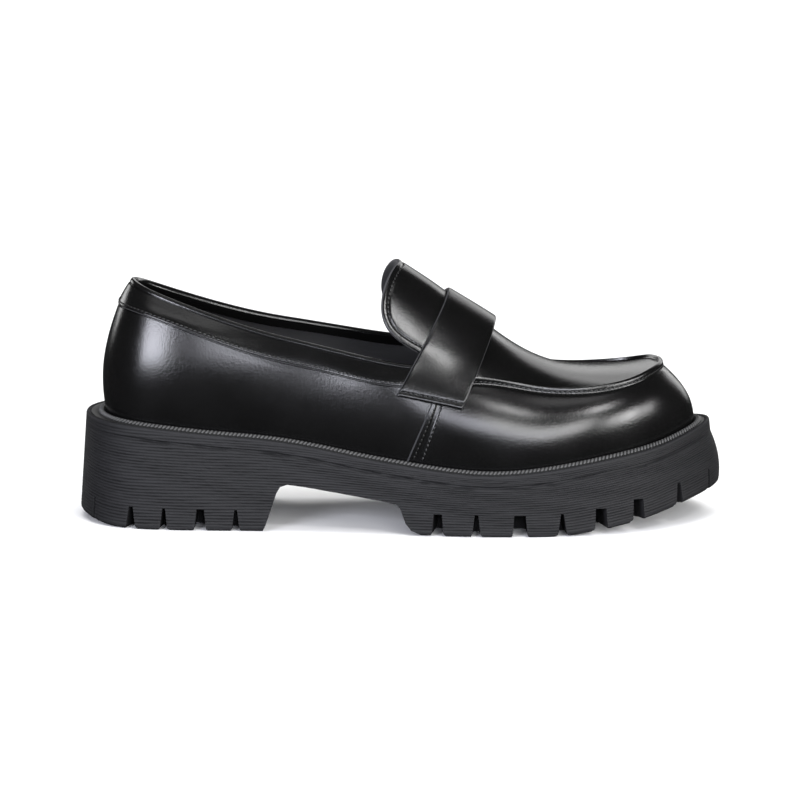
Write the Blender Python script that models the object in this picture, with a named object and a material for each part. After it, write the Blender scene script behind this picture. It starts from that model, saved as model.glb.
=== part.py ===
"""Platform loafer for the right foot: unit sole, welt, insole, upper, tongue, saddle strap and collar band.

All sizes are millimetres in last coordinates: x runs from the back of the sole to the toe, the little-toe
side is -y, and z is the height above the floor. One empty carries every piece and sets the origin under the
middle of the shoe. Each piece is skinned over rings that are worked out from the posts and the height tables
below.
"""

import math

import bmesh
import bpy
import numpy as np
from mathutils import Vector
from mathutils.bvhtree import BVHTree

MM = 0.001

# Driving sizes
COLUMNS = 78            # sections around the shoe
GAP = 0.3               # clearance between pieces that touch
WALL = 1.8              # upper: leather with its lining
RIM_MARGIN = 5.8        # sole edge outside the feather line, along the sides
RIM_MARGIN_HEEL = 2.8   # added to it at the back of the heel
RIM_MARGIN_TOE = 1.0    # added to it at the toe
SIDE_FLARE = 2.0        # how much wider the sole is at the floor, along the sides
SIDE_FLARE_HEEL = 0.4   # added to it at the back of the heel
SIDE_FLARE_TOE = 2.2    # added to it at the toe
LATERAL_REACH = 50.3    # widest point of the sole on each side of the heel's axis
MEDIAL_REACH = 48.8
HEEL_END = -0.4
TOE_END = 275.0

# The posts stand around the shoe, from the heel along the little-toe side to the toe and back along the
# big-toe side. f is the feather line where the wall leaves the sole, s the seam (collar seam on the quarters,
# apron seam on the vamp), o the edge of the opening. flare, lean and lip are the wall's slopes there in
# degrees from upright: out at the feather line, in at the seam, in at the opening. vamp is 1 where the apron
# closes the top.
POST_COLUMNS = ("fx", "fy", "flare", "sx", "sy", "sz", "lean", "ox", "oy", "oz", "lip", "vamp")
POSTS = {
    "heel_back": (10.6, 0.0, 11, 16.0, 0.0, 92.6, 20, 21.8, 0.0, 103.2, 34, 0),
    "heel_corner_lateral": (18.0, -19.3, 11, 21.6, -16.4, 92.6, 20, 26.5, -11.0, 101.7, 34, 0),
    "heel_side_lateral": (40.0, -27.5, 9, 41.0, -25.4, 87.2, 16, 42.3, -18.0, 96.2, 34, 0),
    "quarter_lateral": (74.0, -29.8, 8, 74.4, -28.8, 75.7, 12, 74.4, -23.4, 85.6, 28, 0),
    "waist_lateral": (108.0, -33.5, 8, 108.0, -33.0, 68.4, 10, 108.0, -28.6, 77.8, 22, 0),
    "throat_lateral": (140.0, -38.5, 8, 140.0, -37.8, 63.6, 14, 147.0, -34.2, 71.6, 20, 0),
    "joint_lateral": (170.0, -42.5, 8, 170.0, -31.8, 65.5, 48, 158.0, -27.0, 79.5, 40, 1),
    "ball_lateral": (196.0, -42.3, 8, 196.0, -28.8, 61.2, 56, 163.5, -17.5, 85.0, 40, 1),
    "toe_side_lateral": (219.0, -38.3, 7, 218.0, -27.8, 60.4, 58, 166.0, -10.5, 87.4, 40, 1),
    "toe_corner_lateral": (239.0, -29.5, 6, 236.0, -22.6, 62.4, 56, 167.0, -5.8, 88.5, 40, 1),
    "toe_turn_lateral": (254.5, -15.0, 5, 245.4, -11.5, 65.2, 52, 167.6, -2.4, 88.9, 40, 1),
    "toe_tip": (264.0, 4.0, 4, 249.4, 3.0, 66.1, 48, 167.8, 0.0, 89.0, 40, 1),
    "toe_turn_medial": (257.5, 20.5, 5, 245.8, 16.5, 65.2, 52, 167.6, 2.4, 88.9, 40, 1),
    "toe_corner_medial": (243.5, 33.0, 6, 237.0, 26.0, 62.4, 56, 167.0, 5.8, 88.5, 40, 1),
    "toe_side_medial": (224.0, 39.5, 7, 220.0, 29.0, 60.4, 58, 166.0, 10.5, 87.4, 40, 1),
    "ball_medial": (198.0, 40.8, 8, 197.0, 29.2, 61.2, 56, 163.5, 17.5, 85.0, 40, 1),
    "joint_medial": (168.0, 37.5, 9, 169.0, 31.4, 65.5, 48, 158.0, 27.0, 79.5, 40, 1),
    "throat_medial": (139.0, 31.0, 12, 139.0, 35.4, 63.6, 14, 147.0, 33.2, 71.6, 20, 0),
    "waist_medial": (108.0, 26.8, 14, 108.0, 31.6, 68.2, 10, 108.0, 28.2, 77.4, 22, 0),
    "quarter_medial": (74.0, 26.6, 11, 74.4, 28.4, 74.9, 12, 74.4, 23.2, 84.4, 28, 0),
    "heel_side_medial": (40.0, 26.6, 9, 41.0, 25.2, 86.0, 16, 42.3, 18.0, 94.4, 34, 0),
    "heel_corner_medial": (18.0, 19.0, 11, 21.6, 16.2, 92.0, 20, 26.5, 11.0, 100.8, 34, 0),
}
TOE_POST = list(POSTS).index("toe_tip")

# Heights along the shoe: (x, z)
SEAT_HEIGHT = ((0, 45.4), (18, 44.4), (32, 43.3), (48, 41.8), (66, 40.3), (78, 39.3), (90, 37.9), (104, 35.6),
               (120, 32.6), (136, 30.1), (150, 28.1), (164, 26.6), (176, 26.0), (186, 26.3), (198, 27.4),
               (212, 29.4), (226, 31.6), (240, 33.7), (250, 35.4), (260, 37.9), (276, 42.9))
TREAD_HEIGHT = ((0, 3.2), (8, 1.2), (16, 0.2), (24, 0), (60, 0), (180, 0), (203, 0), (224, 2.3), (241, 5.4),
                (258, 9.7), (276, 14.2))
CREST_HEIGHT = ((122, 121.5), (138.7, 110.4), (155, 99.2), (168, 88.8), (179, 79.8), (185.7, 75.0),
                (192.6, 70.8), (199.5, 67.6), (206, 65.4), (213, 64.2), (222, 63.6), (232, 63.8),
                (245, 65.2), (256, 66.2))
SEAM_HEIGHT = ((122, 62.4), (140, 63.8), (170, 65.5), (196, 61.2), (218, 60.4), (236, 62.4), (247, 64.8),
               (256, 66))
# Half the apron's width along the shoe: (x, half width)
APRON_HALF_WIDTH = ((122, 38.6), (140, 38.0), (155, 35.0), (170, 31.8), (196, 29.0), (218, 28.4), (236, 25),
                    (256, 20))
APRON_CROWN = 2.15      # exponent of the instep's cross-section
TOE_SWING = (190, 60, 3.0)  # the apron's axis swings this far to the big-toe side: start, length, offset

# Upper: rows of each profile, as shares of the wall and of the part above the seam
WALL_ROWS = (0, 0.1, 0.24, 0.4, 0.56, 0.71, 0.84, 0.93)
OUTER_ROWS_ONLY = (1, 4, 7, 8)  # rows that the inner face does without
TOP_ROWS = (0.045, 0.16, 0.32, 0.5, 0.68, 0.85, 1.0)
RIDGE_HEIGHT = 1.6      # raised seam around the apron
BAND_RECESS = 0.7       # step that takes most of the collar band's thickness
LAP_HEIGHT = 0.8        # step where the vamp laps over the quarter
LAP_FADE = 25.0         # length over which that step fades towards the toe
LAP_HALF_GAP = 0.35
LAP_LOW_X = 140.4       # the lap leans forward: at the feather line and at the seam
LAP_HIGH_X = 155.0
LAP_PULL = 22.0         # reach of the columns that follow the lean

# Sole side, from the top: (depth below the seat, inset from the side)
SOLE_SIDE_TOP = ((0, 0.9), (0.9, 0), (4.0, 0), (4.4, 0.8), (5.1, 0.8), (5.5, 0))
SOLE_EDGE = 1.4         # rounding at the floor
# Heel breast, shank and the back of the forefoot: (x, z), seen from the side
ARCH_OUTLINE = ((77.6, -4), (78.1, 0), (79.4, 2.6), (84.2, 17.0), (85.8, 19.6), (88.8, 20.6), (97.0, 19.7),
                (130.0, 14.6), (135.6, 13.4), (137.4, 11.6), (139.6, 5.4), (142.0, 2.4), (146.0, 0.6),
                (150.0, 0), (152.0, -4))
# Notches between the lugs: (x on the side, width at the floor, width at the top, height, reach inwards)
NOTCHES = ((5.3, 1.0, 0.8, 9.5, 9), (21.2, 3.8, 1.6, 9.6, 15), (35.5, 2.9, 1.0, 9.6, 12),
           (51.3, 4.7, 2.9, 9.4, 17), (66.6, 2.9, 1.0, 9.2, 12), (153.4, 4.7, 3.3, 9.4, 17),
           (170.1, 3.3, 1.4, 9.4, 13), (188.9, 6.0, 4.7, 9.4, 19), (207.2, 3.3, 1.1, 9.6, 13),
           (224.0, 5.2, 4.3, 9.4, 17), (240.2, 4.7, 4.3, 9.4, 15), (257.8, 2.9, 1.1, 9.4, 12),
           (270.6, 1.0, 0.8, 9.0, 9))
NOTCH_OVERRUN = 6.0     # how far a cutter runs past the side and the floor
# Pockets between the rows of lugs: (from x, to x)
POCKETS = ((26, 46), (56, 72), (158, 184), (194, 219), (229, 246))
POCKET_DEPTH = 5.0
LUG_LENGTH = 21.0       # side lug, measured inwards

# Welt's section: (out from the feather line, share of the rim's margin added to it, height above the seat)
WELT_SECTION = ((0.4, 0, 0.3), (-1.6, 1, 0.3), (-1.6, 1, 0.7), (3.4, 0, 0.7), (2.0, 0, 1.9), (1.2, 0, 1.9))

# Insole
INSOLE_INSET = WALL + 0.6
INSOLE_THICKNESS = 4.0
INSOLE_ROUND = 1.2

# Collar band folded over the edge of the opening
BAND_THICKNESS = 0.8
BAND_END_GAP = 1.1      # its ends stop this far behind the strap
BAND_SEARCH = 24        # columns on each side of the heel in which its ends are looked for
BAND_INSIDE_ROWS = 3    # rows of the upper that it covers inside

# Tongue
TONGUE_THICKNESS = 2.4
TONGUE_SLOPE = 32.0     # fall of the instep under it, in degrees
TONGUE_HALF_WIDTH = 31.3
TONGUE_BASE_X = 174.0   # ridge of the plane in which its rounded outline starts
TONGUE_TOP_X = 137.0
TONGUE_SQUARENESS = 4.1  # exponent of its rounded outline
TONGUE_EARS = 4.2       # its corners reach this much further back than its middle
TONGUE_SWEEP = 81.0     # half angle over which the outline is drawn; it stops behind the throat
TONGUE_COLUMNS = 20
TONGUE_ROWS = 8
THROAT_HALF_WIDTH = 30.2
THROAT_GAP = 0.9

# Saddle strap: (x, z) of each edge seen from the side, at its top and at its ends
STRAP_BACK_TOP = (156.6, 96.0)
STRAP_BACK_END = (135.7, 60.0)
STRAP_FRONT_TOP = (177.6, 83.6)
STRAP_FRONT_END = (164.0, 54.6)
STRAP_THICKNESS = 1.9
STRAP_LIFT = 2.4        # how far its front edge stands off the vamp on top
STRAP_ROUNDING = 0.6
STRAP_CLEARANCE = 0.6   # over the facets of the pieces under it
STRAP_STEPS = 26
STRAP_ACROSS = 9
RAY_START = 120.0


def spline(knots, values, period=None):
    """Cubic spline through a table: closed on itself where a period is given, else straight at its ends."""
    knots = np.asarray(knots, float)
    values = np.asarray(values, float)
    count = len(knots)
    matrix = np.eye(count)
    target = np.zeros(count)
    if period:
        steps = np.diff(np.append(knots, knots[0] + period))
        slopes = np.diff(np.append(values, values[0])) / steps
        inner = range(count)
    else:
        steps = np.diff(knots)
        slopes = np.diff(values) / steps
        inner = range(1, count - 1)
    for i in inner:
        matrix[i] = 0
        matrix[i, i - 1] += steps[i - 1]
        matrix[i, i] += 2 * (steps[i - 1] + steps[i])
        matrix[i, (i + 1) % count] += steps[i]
        target[i] = 6 * (slopes[i] - slopes[i - 1])
    bends = np.linalg.solve(matrix, target)

    def at(where):
        where = np.asarray(where, float)
        where = knots[0] + (where - knots[0]) % period if period else np.clip(where, knots[0], knots[-1])
        i = np.clip(np.searchsorted(knots, where, side="right") - 1, 0, len(steps) - 1)
        j = (i + 1) % count
        rest = where - knots[i]
        bend = (bends[j] - bends[i]) / (6 * steps[i])
        slope = slopes[i] - steps[i] * (2 * bends[i] + bends[j]) / 6
        return values[i] + rest * (slope + rest * (bends[i] / 2 + rest * bend))

    return at


def height_table(rows):
    return spline([row[0] for row in rows], [row[1] for row in rows])


POST_TABLE = np.array(list(POSTS.values()), float)
POST_CHORDS = np.linalg.norm(np.roll(POST_TABLE[:, :2], -1, axis=0) - POST_TABLE[:, :2], axis=1)
GIRTH = POST_CHORDS.sum()
POST_PLACES = np.append(0, np.cumsum(POST_CHORDS)[:-1])
TOE_PLACE = POST_PLACES[TOE_POST]
POST = {name: spline(POST_PLACES, POST_TABLE[:, i], GIRTH) for i, name in enumerate(POST_COLUMNS)}

seat_height = height_table(SEAT_HEIGHT)
crest_height = height_table(CREST_HEIGHT)
seam_height = height_table(SEAM_HEIGHT)
apron_half_width = height_table(APRON_HALF_WIDTH)
tread_curve = height_table(TREAD_HEIGHT)


def tread_height(x):
    """Floor of the sole: flat under heel and forefoot."""
    return np.maximum(tread_curve(x), 0)


def around():
    """Places around the shoe: equal steps from the heel to the toe, and from the toe back to the heel."""
    lateral = np.linspace(0, TOE_PLACE, COLUMNS // 2 + 1)
    medial = np.linspace(TOE_PLACE, GIRTH, COLUMNS // 2 + 1)
    return np.concatenate([lateral[:-1], medial[:-1]])


def outward(place):
    """Unit vectors in plan that point out of the feather line."""
    step = 0.5
    dx = POST["fx"](place + step) - POST["fx"](place - step)
    dy = POST["fy"](place + step) - POST["fy"](place - step)
    length = np.hypot(dx, dy)
    return np.stack([dy / length, -dx / length], axis=-1)


def plan_ring(place, offset):
    """The feather line moved out by an offset: (x, y)."""
    line = np.stack([POST["fx"](place), POST["fy"](place)], axis=-1)
    return line + outward(place) * np.asarray(offset)[..., None]


def by_end(place, sides, heel, toe):
    """A size along the sides, with what is added to it towards the heel and the toe."""
    facing = outward(place)[:, 0]
    return sides + heel * np.maximum(-facing, 0) + toe * np.maximum(facing, 0)


def rim_margin(place):
    return by_end(place, RIM_MARGIN, RIM_MARGIN_HEEL, RIM_MARGIN_TOE)


def side_flare(place):
    return by_end(place, SIDE_FLARE, SIDE_FLARE_HEEL, SIDE_FLARE_TOE)


def with_height(plan, heights):
    return np.column_stack([plan, np.broadcast_to(heights, len(plan))])


def smooth(share):
    share = np.clip(share, 0, 1)
    return share * share * (3 - 2 * share)


def apron(x, y):
    """Height of the instep: apron, throat and tongue lie on it."""
    start, length, swing = TOE_SWING
    axis = swing * np.clip((x - start) / length, 0, 1) ** 2
    across = np.clip(np.abs(y - axis) / apron_half_width(x), 0, 1.15)
    edge = seam_height(x)
    return edge + (crest_height(x) - edge) * (1 - across ** APRON_CROWN)


def bezier(a, b, c, d, share):
    rest = 1 - share
    return a * rest**3 + 3 * b * rest**2 * share + 3 * c * rest * share**2 + d * share**3


def slope_vector(place, degrees):
    """Unit vectors that rise from upright, leaning out by an angle."""
    angle = np.radians(degrees)
    return np.column_stack([outward(place) * np.sin(angle)[:, None], np.cos(angle)])


def seam_ring(place):
    return np.column_stack([POST[name](place) for name in ("sx", "sy", "sz")])


def wall_ring(place, share):
    """Outer face of the wall: 0 at the feather line, 1 at the seam."""
    foot = with_height(plan_ring(place, np.zeros(len(place))), 0)
    foot[:, 2] = seat_height(foot[:, 0]) + GAP
    seam = seam_ring(place)
    reach = 0.38 * np.linalg.norm(seam - foot, axis=1)[:, None]
    low = foot + reach * slope_vector(place, POST["flare"](place))
    high = seam - reach * slope_vector(place, -POST["lean"](place))
    return bezier(foot, low, high, seam, share)


def top_ring(place, share):
    """Outer face above the seam: 0 at the seam, 1 at the edge of the opening."""
    seam = seam_ring(place)
    edge = np.column_stack([POST[name](place) for name in ("ox", "oy", "oz")])
    reach = np.linalg.norm(edge - seam, axis=1)[:, None] / 3
    low = seam + reach * slope_vector(place, -POST["lean"](place))
    high = edge - reach * slope_vector(place, -POST["lip"](place))
    quarter = bezier(seam, low, high, edge, share)
    vamp = seam + (edge - seam) * share
    step_at_seam = seam[:, 2] - apron(seam[:, 0], seam[:, 1])
    vamp[:, 2] = apron(vamp[:, 0], vamp[:, 1]) + step_at_seam * (1 - share) ** 2
    weight = smooth(POST["vamp"](place))[:, None]
    return quarter + (vamp - quarter) * weight


def place_at(x, side, offset=0.0):
    """The place on one side, -1 little toe or 1 big toe, where the feather line, moved out, passes x."""
    ends = (0, TOE_PLACE) if side < 0 else (GIRTH, TOE_PLACE)
    trial = np.linspace(*ends, 800)
    return float(np.interp(x, plan_ring(trial, np.full(len(trial), offset))[:, 0], trial))


def upper_columns():
    """Places around the shoe with a close pair of columns at each vamp lap, and their signed way past it."""
    place = around()
    for side in (-1, 1):
        lap = place_at(LAP_LOW_X, side)
        nearest = int(np.argmin(np.abs(place - lap)))
        pair = [lap + side * LAP_HALF_GAP, lap - side * LAP_HALF_GAP]
        place = np.sort(np.append(np.delete(place, nearest), pair))
    ahead = np.zeros(len(place))
    for side in (-1, 1):
        lap = place_at(LAP_LOW_X, side)
        half = place <= TOE_PLACE if side < 0 else place >= TOE_PLACE
        ahead = np.where(half, -side * (place - lap), ahead)
    return place, ahead


def leaning(place, share):
    """Columns near a vamp lap moved along the shoe so that they follow its lean."""
    moved = place.copy()
    for side in (-1, 1):
        low = place_at(LAP_LOW_X, side)
        high = place_at(LAP_HIGH_X, side)
        moved += (high - low) * share * np.exp(-(((place - low) / LAP_PULL) ** 2))
    return moved


def normals(grid):
    """Outward normals of a grid of rings that climb the shoe: rows of closed columns."""
    along = np.roll(grid, -1, axis=1) - np.roll(grid, 1, axis=1)
    up = np.gradient(grid, axis=0)
    normal = np.cross(along, up)
    return normal / np.linalg.norm(normal, axis=2)[..., None]


def upper_grids():
    """Outer and inner faces of the upper, as rows of rings from the feather line to the opening."""
    place, ahead = upper_columns()
    rows = [wall_ring(leaning(place, share), share) for share in WALL_ROWS]
    seam_places = leaning(place, 1)
    rows.append(wall_ring(seam_places, 0.985))
    rows += [top_ring(seam_places, share) for share in TOP_ROWS]
    base = np.array(rows)
    facing = normals(base)
    relief = np.zeros(base.shape[:2])
    ridge_row = len(WALL_ROWS)
    vamp = smooth(POST["vamp"](seam_places))
    relief[ridge_row] = RIDGE_HEIGHT * vamp
    relief[ridge_row:] -= BAND_RECESS * (1 - vamp)
    lap = np.where(ahead > 0, LAP_HEIGHT * np.exp(-np.maximum(ahead, 0) / LAP_FADE), 0)
    relief[1 : ridge_row - 1] += lap
    outer = base + facing * relief[..., None]
    inner = base - facing * WALL
    inner[0, :, 2] = base[0, :, 2]
    return outer, inner, facing


def finish_mesh(name, mesh_maker, collection, parent):
    """A named object from a bmesh, in metres, with its faces pointing out."""
    bmesh.ops.recalc_face_normals(mesh_maker, faces=mesh_maker.faces)
    bmesh.ops.scale(mesh_maker, vec=(MM, MM, MM), verts=mesh_maker.verts)
    mesh = bpy.data.meshes.new(name)
    mesh_maker.to_mesh(mesh)
    mesh_maker.free()
    mesh.shade_smooth()
    mesh.set_sharp_from_angle(angle=math.radians(40))
    made = bpy.data.objects.new(name, mesh)
    made.parent = parent
    collection.objects.link(made)
    return made


def ladder(mesh_maker, left, right):
    """Faces between two chains of vertices that may share their ends."""
    for i in range(len(left) - 1):
        corners = list(dict.fromkeys((left[i], left[i + 1], right[i + 1], right[i])))
        mesh_maker.faces.new(corners)


def skin(mesh_maker, rings, loop=False, cap="rungs"):
    """A closed solid over rings of equal length. Ends are closed with rungs from one side of the ring to the
    other, or, where the ring starts at a point of its own axis, with ribs; a loop of rings has no ends."""
    made = [[mesh_maker.verts.new(point) for point in ring] for ring in rings]
    count = len(made[0])
    pairs = list(zip(made, made[1:] + made[:1])) if loop else list(zip(made, made[1:]))
    for low, high in pairs:
        for i in range(count):
            j = (i + 1) % count
            mesh_maker.faces.new((low[i], low[j], high[j], high[i]))
    half = count // 2
    for ring in () if loop else (made[0], made[-1]):
        if cap == "ribs":
            ladder(mesh_maker, ring[: half + 1], [ring[0]] + ring[:half - 1:-1])
        else:
            ladder(mesh_maker, ring[:half], ring[: half - 1 : -1])


def solid(name, rings, collection, parent, **how):
    mesh_maker = bmesh.new()
    skin(mesh_maker, rings, **how)
    return finish_mesh(name, mesh_maker, collection, parent)


def finish(made, colour, roughness):
    """One Principled material of its own for a piece."""
    material = bpy.data.materials.new(made.name + "_finish")
    material.use_nodes = True
    shader = material.node_tree.nodes["Principled BSDF"]
    shader.inputs["Base Color"].default_value = (*colour, 1)
    shader.inputs["Roughness"].default_value = roughness
    shader.inputs["Metallic"].default_value = 0
    made.data.materials.append(material)


def cut(made, cutter):
    modifier = made.modifiers.new("cut_" + cutter.name, "BOOLEAN")
    modifier.operation = "DIFFERENCE"
    modifier.solver = "EXACT"
    modifier.object = cutter


def make_cutter(name, bodies, collection, parent):
    """Separate closed bodies in one hidden object: each is a pair of rings."""
    mesh_maker = bmesh.new()
    for rings in bodies:
        skin(mesh_maker, rings)
    made = finish_mesh(name, mesh_maker, collection, parent)
    made.hide_render = True
    made.display_type = "WIRE"
    return made


def arch_body():
    """Prism across the shoe under the shank."""
    reach = LATERAL_REACH + 2 * NOTCH_OVERRUN
    outline = np.array(ARCH_OUTLINE)
    upper_side = outline[1:-1]
    floor = np.column_stack([upper_side[:, 0], np.full(len(upper_side), outline[0, 1])])
    ring = np.concatenate([upper_side, floor[::-1]])
    return [[(x, side * reach, z) for x, z in ring] for side in (-1, 1)]


def notch_bodies():
    """Wedges that stand across the sole's edge, wider at the floor."""
    bodies = []
    for x, low_width, top_width, height, reach in NOTCHES:
        spread = low_width + (low_width - top_width) * NOTCH_OVERRUN / height
        for side in (-1, 1):
            place = np.array([place_at(x, side, RIM_MARGIN + RIM_MARGIN_TOE + SIDE_FLARE)])
            edge = plan_ring(place, rim_margin(place) + side_flare(place))[0]
            out = outward(place)[0]
            across = np.array([-out[1], out[0]])
            floor = float(tread_height(x))
            rings = []
            for z, width in ((floor - NOTCH_OVERRUN, spread), (floor + height, top_width)):
                half = across * width / 2
                far = edge + out * NOTCH_OVERRUN
                near = edge - out * reach
                corners = (far - half, far + half, near + half, near - half)
                rings.append([(*corner, z) for corner in corners])
            bodies.append(rings)
    return bodies


def pocket_bodies():
    """Hollows in the middle of the tread, with bars left between them."""
    bodies = []
    for start, end in POCKETS:
        corners = []
        for x, side in ((start, -1), (end, -1), (end, 1), (start, 1)):
            place = np.array([place_at(x, side)])
            edge = plan_ring(place, rim_margin(place) + side_flare(place))[0]
            corners.append((x, edge[1] - side * LUG_LENGTH, float(tread_height(x))))
        levels = (-NOTCH_OVERRUN, POCKET_DEPTH)
        bodies.append([[(x, y, floor + level) for x, y, floor in corners] for level in levels])
    return bodies


def make_outsole(parts, cutters, parent):
    """Unit sole with heel, shank and forefoot in one moulding."""
    place = around()
    margin = rim_margin(place)
    flare = side_flare(place)
    rings = []
    for depth, inset in SOLE_SIDE_TOP:
        plan = plan_ring(place, margin - inset + flare * depth / 40)
        rings.append(with_height(plan, seat_height(plan[:, 0]) - depth))
    for rise, inset in ((SOLE_EDGE, 0), (SOLE_EDGE * 0.3, SOLE_EDGE * 0.3), (0, SOLE_EDGE)):
        plan = plan_ring(place, margin + flare - inset)
        rings.append(with_height(plan, tread_height(plan[:, 0]) + rise))
    made = solid("outsole", rings, parts, parent, cap="ribs")
    cut(made, make_cutter("arch", [arch_body()], cutters, parent))
    cut(made, make_cutter("notches", notch_bodies(), cutters, parent))
    cut(made, make_cutter("pockets", pocket_bodies(), cutters, parent))
    finish(made, (0.032, 0.032, 0.034), 0.72)


def make_welt(parts, parent):
    """Stitched strip that lies on the sole around the foot of the wall."""
    place, _ = upper_columns()
    margin = rim_margin(place)
    rings = []
    for offset, at_rim, height in WELT_SECTION:
        plan = plan_ring(place, offset + margin * at_rim)
        rings.append(with_height(plan, seat_height(plan[:, 0]) + height))
    made = solid("welt", rings, parts, parent, loop=True)
    finish(made, (0.028, 0.027, 0.026), 0.6)


def make_insole(parts, parent):
    """Sock that fills the floor of the upper."""
    place = around()
    rings = []
    for height, inset in ((0, 0), (INSOLE_THICKNESS - INSOLE_ROUND, 0), (INSOLE_THICKNESS, INSOLE_ROUND)):
        plan = plan_ring(place, np.full(COLUMNS, -INSOLE_INSET - inset))
        rings.append(with_height(plan, seat_height(plan[:, 0]) + GAP + height))
    made = solid("insole", rings, parts, parent, cap="ribs")
    finish(made, (0.02, 0.02, 0.021), 0.7)


def make_upper(parts, parent):
    """Hollow wall with the raised apron seam and the vamp laps, open at the collar, throat and underneath."""
    outer, inner, facing = upper_grids()
    lining = [row for number, row in enumerate(inner) if number not in OUTER_ROWS_ONLY]
    made = solid("upper", [*outer, *lining[::-1]], parts, parent, loop=True)
    finish(made, (0.012, 0.012, 0.013), 0.35)
    return outer, inner, facing


def row_at(row, index):
    """Points of a closed row at whole or part columns; negative ones lie on the big-toe side."""
    low = np.floor(index).astype(int)
    part = (index - low)[:, None]
    count = len(row)
    return row[low % count] * (1 - part) + row[(low + 1) % count] * part


def band_columns(row):
    """Part columns, big-toe side first, where a row of the upper meets the plane of the strap's back edge."""
    back = np.array(STRAP_BACK_TOP) - np.array(STRAP_BACK_END)
    ends = []
    for first, last in ((-BAND_SEARCH, 0), (0, BAND_SEARCH)):
        index = np.linspace(first, last, 40 * BAND_SEARCH)
        points = row_at(row, index)
        strap_x = STRAP_BACK_END[0] + (points[:, 2] - STRAP_BACK_END[1]) * back[0] / back[1]
        behind = points[:, 0] - strap_x < -BAND_END_GAP
        ends.append(index[behind][0 if first < 0 else -1])
    return ends


def make_collar_band(parts, parent, outer, inner, facing):
    """Strip folded over the edge of the opening, from one end of the strap round the heel to the other. It is
    laid on the facets of the upper, so that the clearance between them stays even."""
    top = len(outer) - 1
    outside_rows = list(range(len(WALL_ROWS), top))
    inside_rows = list(range(top - BAND_INSIDE_ROWS, top))
    ends = np.array([band_columns(outer[r]) for r in outside_rows + [top]])
    whole = np.arange(math.ceil(ends[:, 0].max() + 0.2), math.floor(ends[:, 1].min() - 0.2) + 1)
    columns = {}
    for r, (first, last) in zip(outside_rows + [top], ends):
        columns[r] = np.concatenate([[first], whole, [last]])
    edge_rise = row_at(outer[top] - outer[top - 1], columns[top])
    edge_rise /= np.linalg.norm(edge_rise, axis=1)[:, None]

    def layer(distance):
        """The strip's folded line at a distance from the upper: up outside, over the edge, down inside."""
        line = [row_at(outer[r] + facing[r] * distance, columns[r]) for r in outside_rows]
        line.append(row_at(outer[top] + facing[top] * distance, columns[top]) + edge_rise * distance)
        line.append(row_at(inner[top] - facing[top] * distance, columns[top]) + edge_rise * distance)
        return line + [row_at(inner[r] - facing[r] * distance, columns[r]) for r in inside_rows[::-1]]

    section = layer(GAP + BAND_THICKNESS) + layer(GAP)[::-1]
    made = solid("collar_band", np.array(section).transpose(1, 0, 2), parts, parent)
    finish(made, (0.012, 0.012, 0.013), 0.35)


def on_saddle(ridge_x, y):
    """Point on the instep in the plane that stands square to its ridge at ridge_x."""
    x = np.array(ridge_x, float)
    fall = math.tan(math.radians(TONGUE_SLOPE))
    for _ in range(6):
        x = ridge_x - (crest_height(ridge_x) - apron(x, y)) * fall
    return x


def throat_line(y):
    """Line just behind the edge of the upper's throat, at these distances from the shoe's axis."""
    ends = [POST_PLACES[list(POSTS).index(name)] for name in ("throat_lateral", "throat_medial")]
    trial = np.linspace(*ends, 300)
    place = np.interp(y, top_ring(trial, 1.0)[:, 1], trial)
    edge = top_ring(place, 1.0)
    back = edge - top_ring(place, 0.97)
    return edge + back * (THROAT_GAP / np.linalg.norm(back, axis=1))[:, None]


def tongue_grid():
    """Outer face of the tongue, from the throat to its rounded top."""
    angle = np.radians(np.linspace(-TONGUE_SWEEP, TONGUE_SWEEP, TONGUE_COLUMNS + 1))
    power = 2 / TONGUE_SQUARENESS
    across = np.sign(np.sin(angle)) * np.abs(np.sin(angle)) ** power
    rise = np.abs(np.cos(angle)) ** power
    low = throat_line(across * THROAT_HALF_WIDTH)
    high_y = across * TONGUE_HALF_WIDTH
    high_x = on_saddle(TONGUE_BASE_X + (TONGUE_TOP_X - TONGUE_BASE_X) * rise, high_y)
    high_x -= TONGUE_EARS * np.abs(across) * rise
    step = low[:, 2] - apron(low[:, 0], low[:, 1])
    rows = []
    for share in np.linspace(0, 1, TONGUE_ROWS):
        x = low[:, 0] + (high_x - low[:, 0]) * share
        y = low[:, 1] + (high_y - low[:, 1]) * share
        rows.append(np.column_stack([x, y, apron(x, y) + step * (1 - share) ** 2]))
    return np.array(rows)


def make_tongue(parts, parent):
    """Padded flap that carries the apron's line on from the throat, under the strap, to its rounded top."""
    outer = tongue_grid()
    across = np.gradient(outer, axis=1)
    back = np.gradient(outer, axis=0)
    facing = np.cross(back, across)
    facing /= np.linalg.norm(facing, axis=2)[..., None]
    facing *= np.sign(facing[..., 2:3])
    inner = outer - facing * TONGUE_THICKNESS
    rings = [np.concatenate([top, low[::-1]]) for top, low in zip(outer, inner)]
    made = solid("tongue", rings, parts, parent)
    finish(made, (0.012, 0.012, 0.013), 0.35)
    return outer


def surface_tree(grids):
    """Search tree over the outer faces of the upper and the tongue."""
    points = []
    faces = []
    for grid, closed in grids:
        rows, columns = grid.shape[:2]
        first = len(points)
        points += [Vector(point) for point in grid.reshape(-1, 3)]
        for r in range(rows - 1):
            for c in range(columns if closed else columns - 1):
                d = (c + 1) % columns
                corners = (r * columns + c, r * columns + d, (r + 1) * columns + d, (r + 1) * columns + c)
                faces.append([first + corner for corner in corners])
    return BVHTree.FromPolygons(points, faces)


def turn(a, b):
    """Cross product of two vectors in a plane."""
    return a[0] * b[1] - a[1] * b[0]


def taut(line):
    """The points of a line, in order over the instep, that a band pulled tight over it would touch."""
    held = []
    for point in line:
        while len(held) > 1 and turn(held[-1] - held[-2], point - held[-1]) >= 0:
            held.pop()
        held.append(point)
    return np.array(held)


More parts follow.
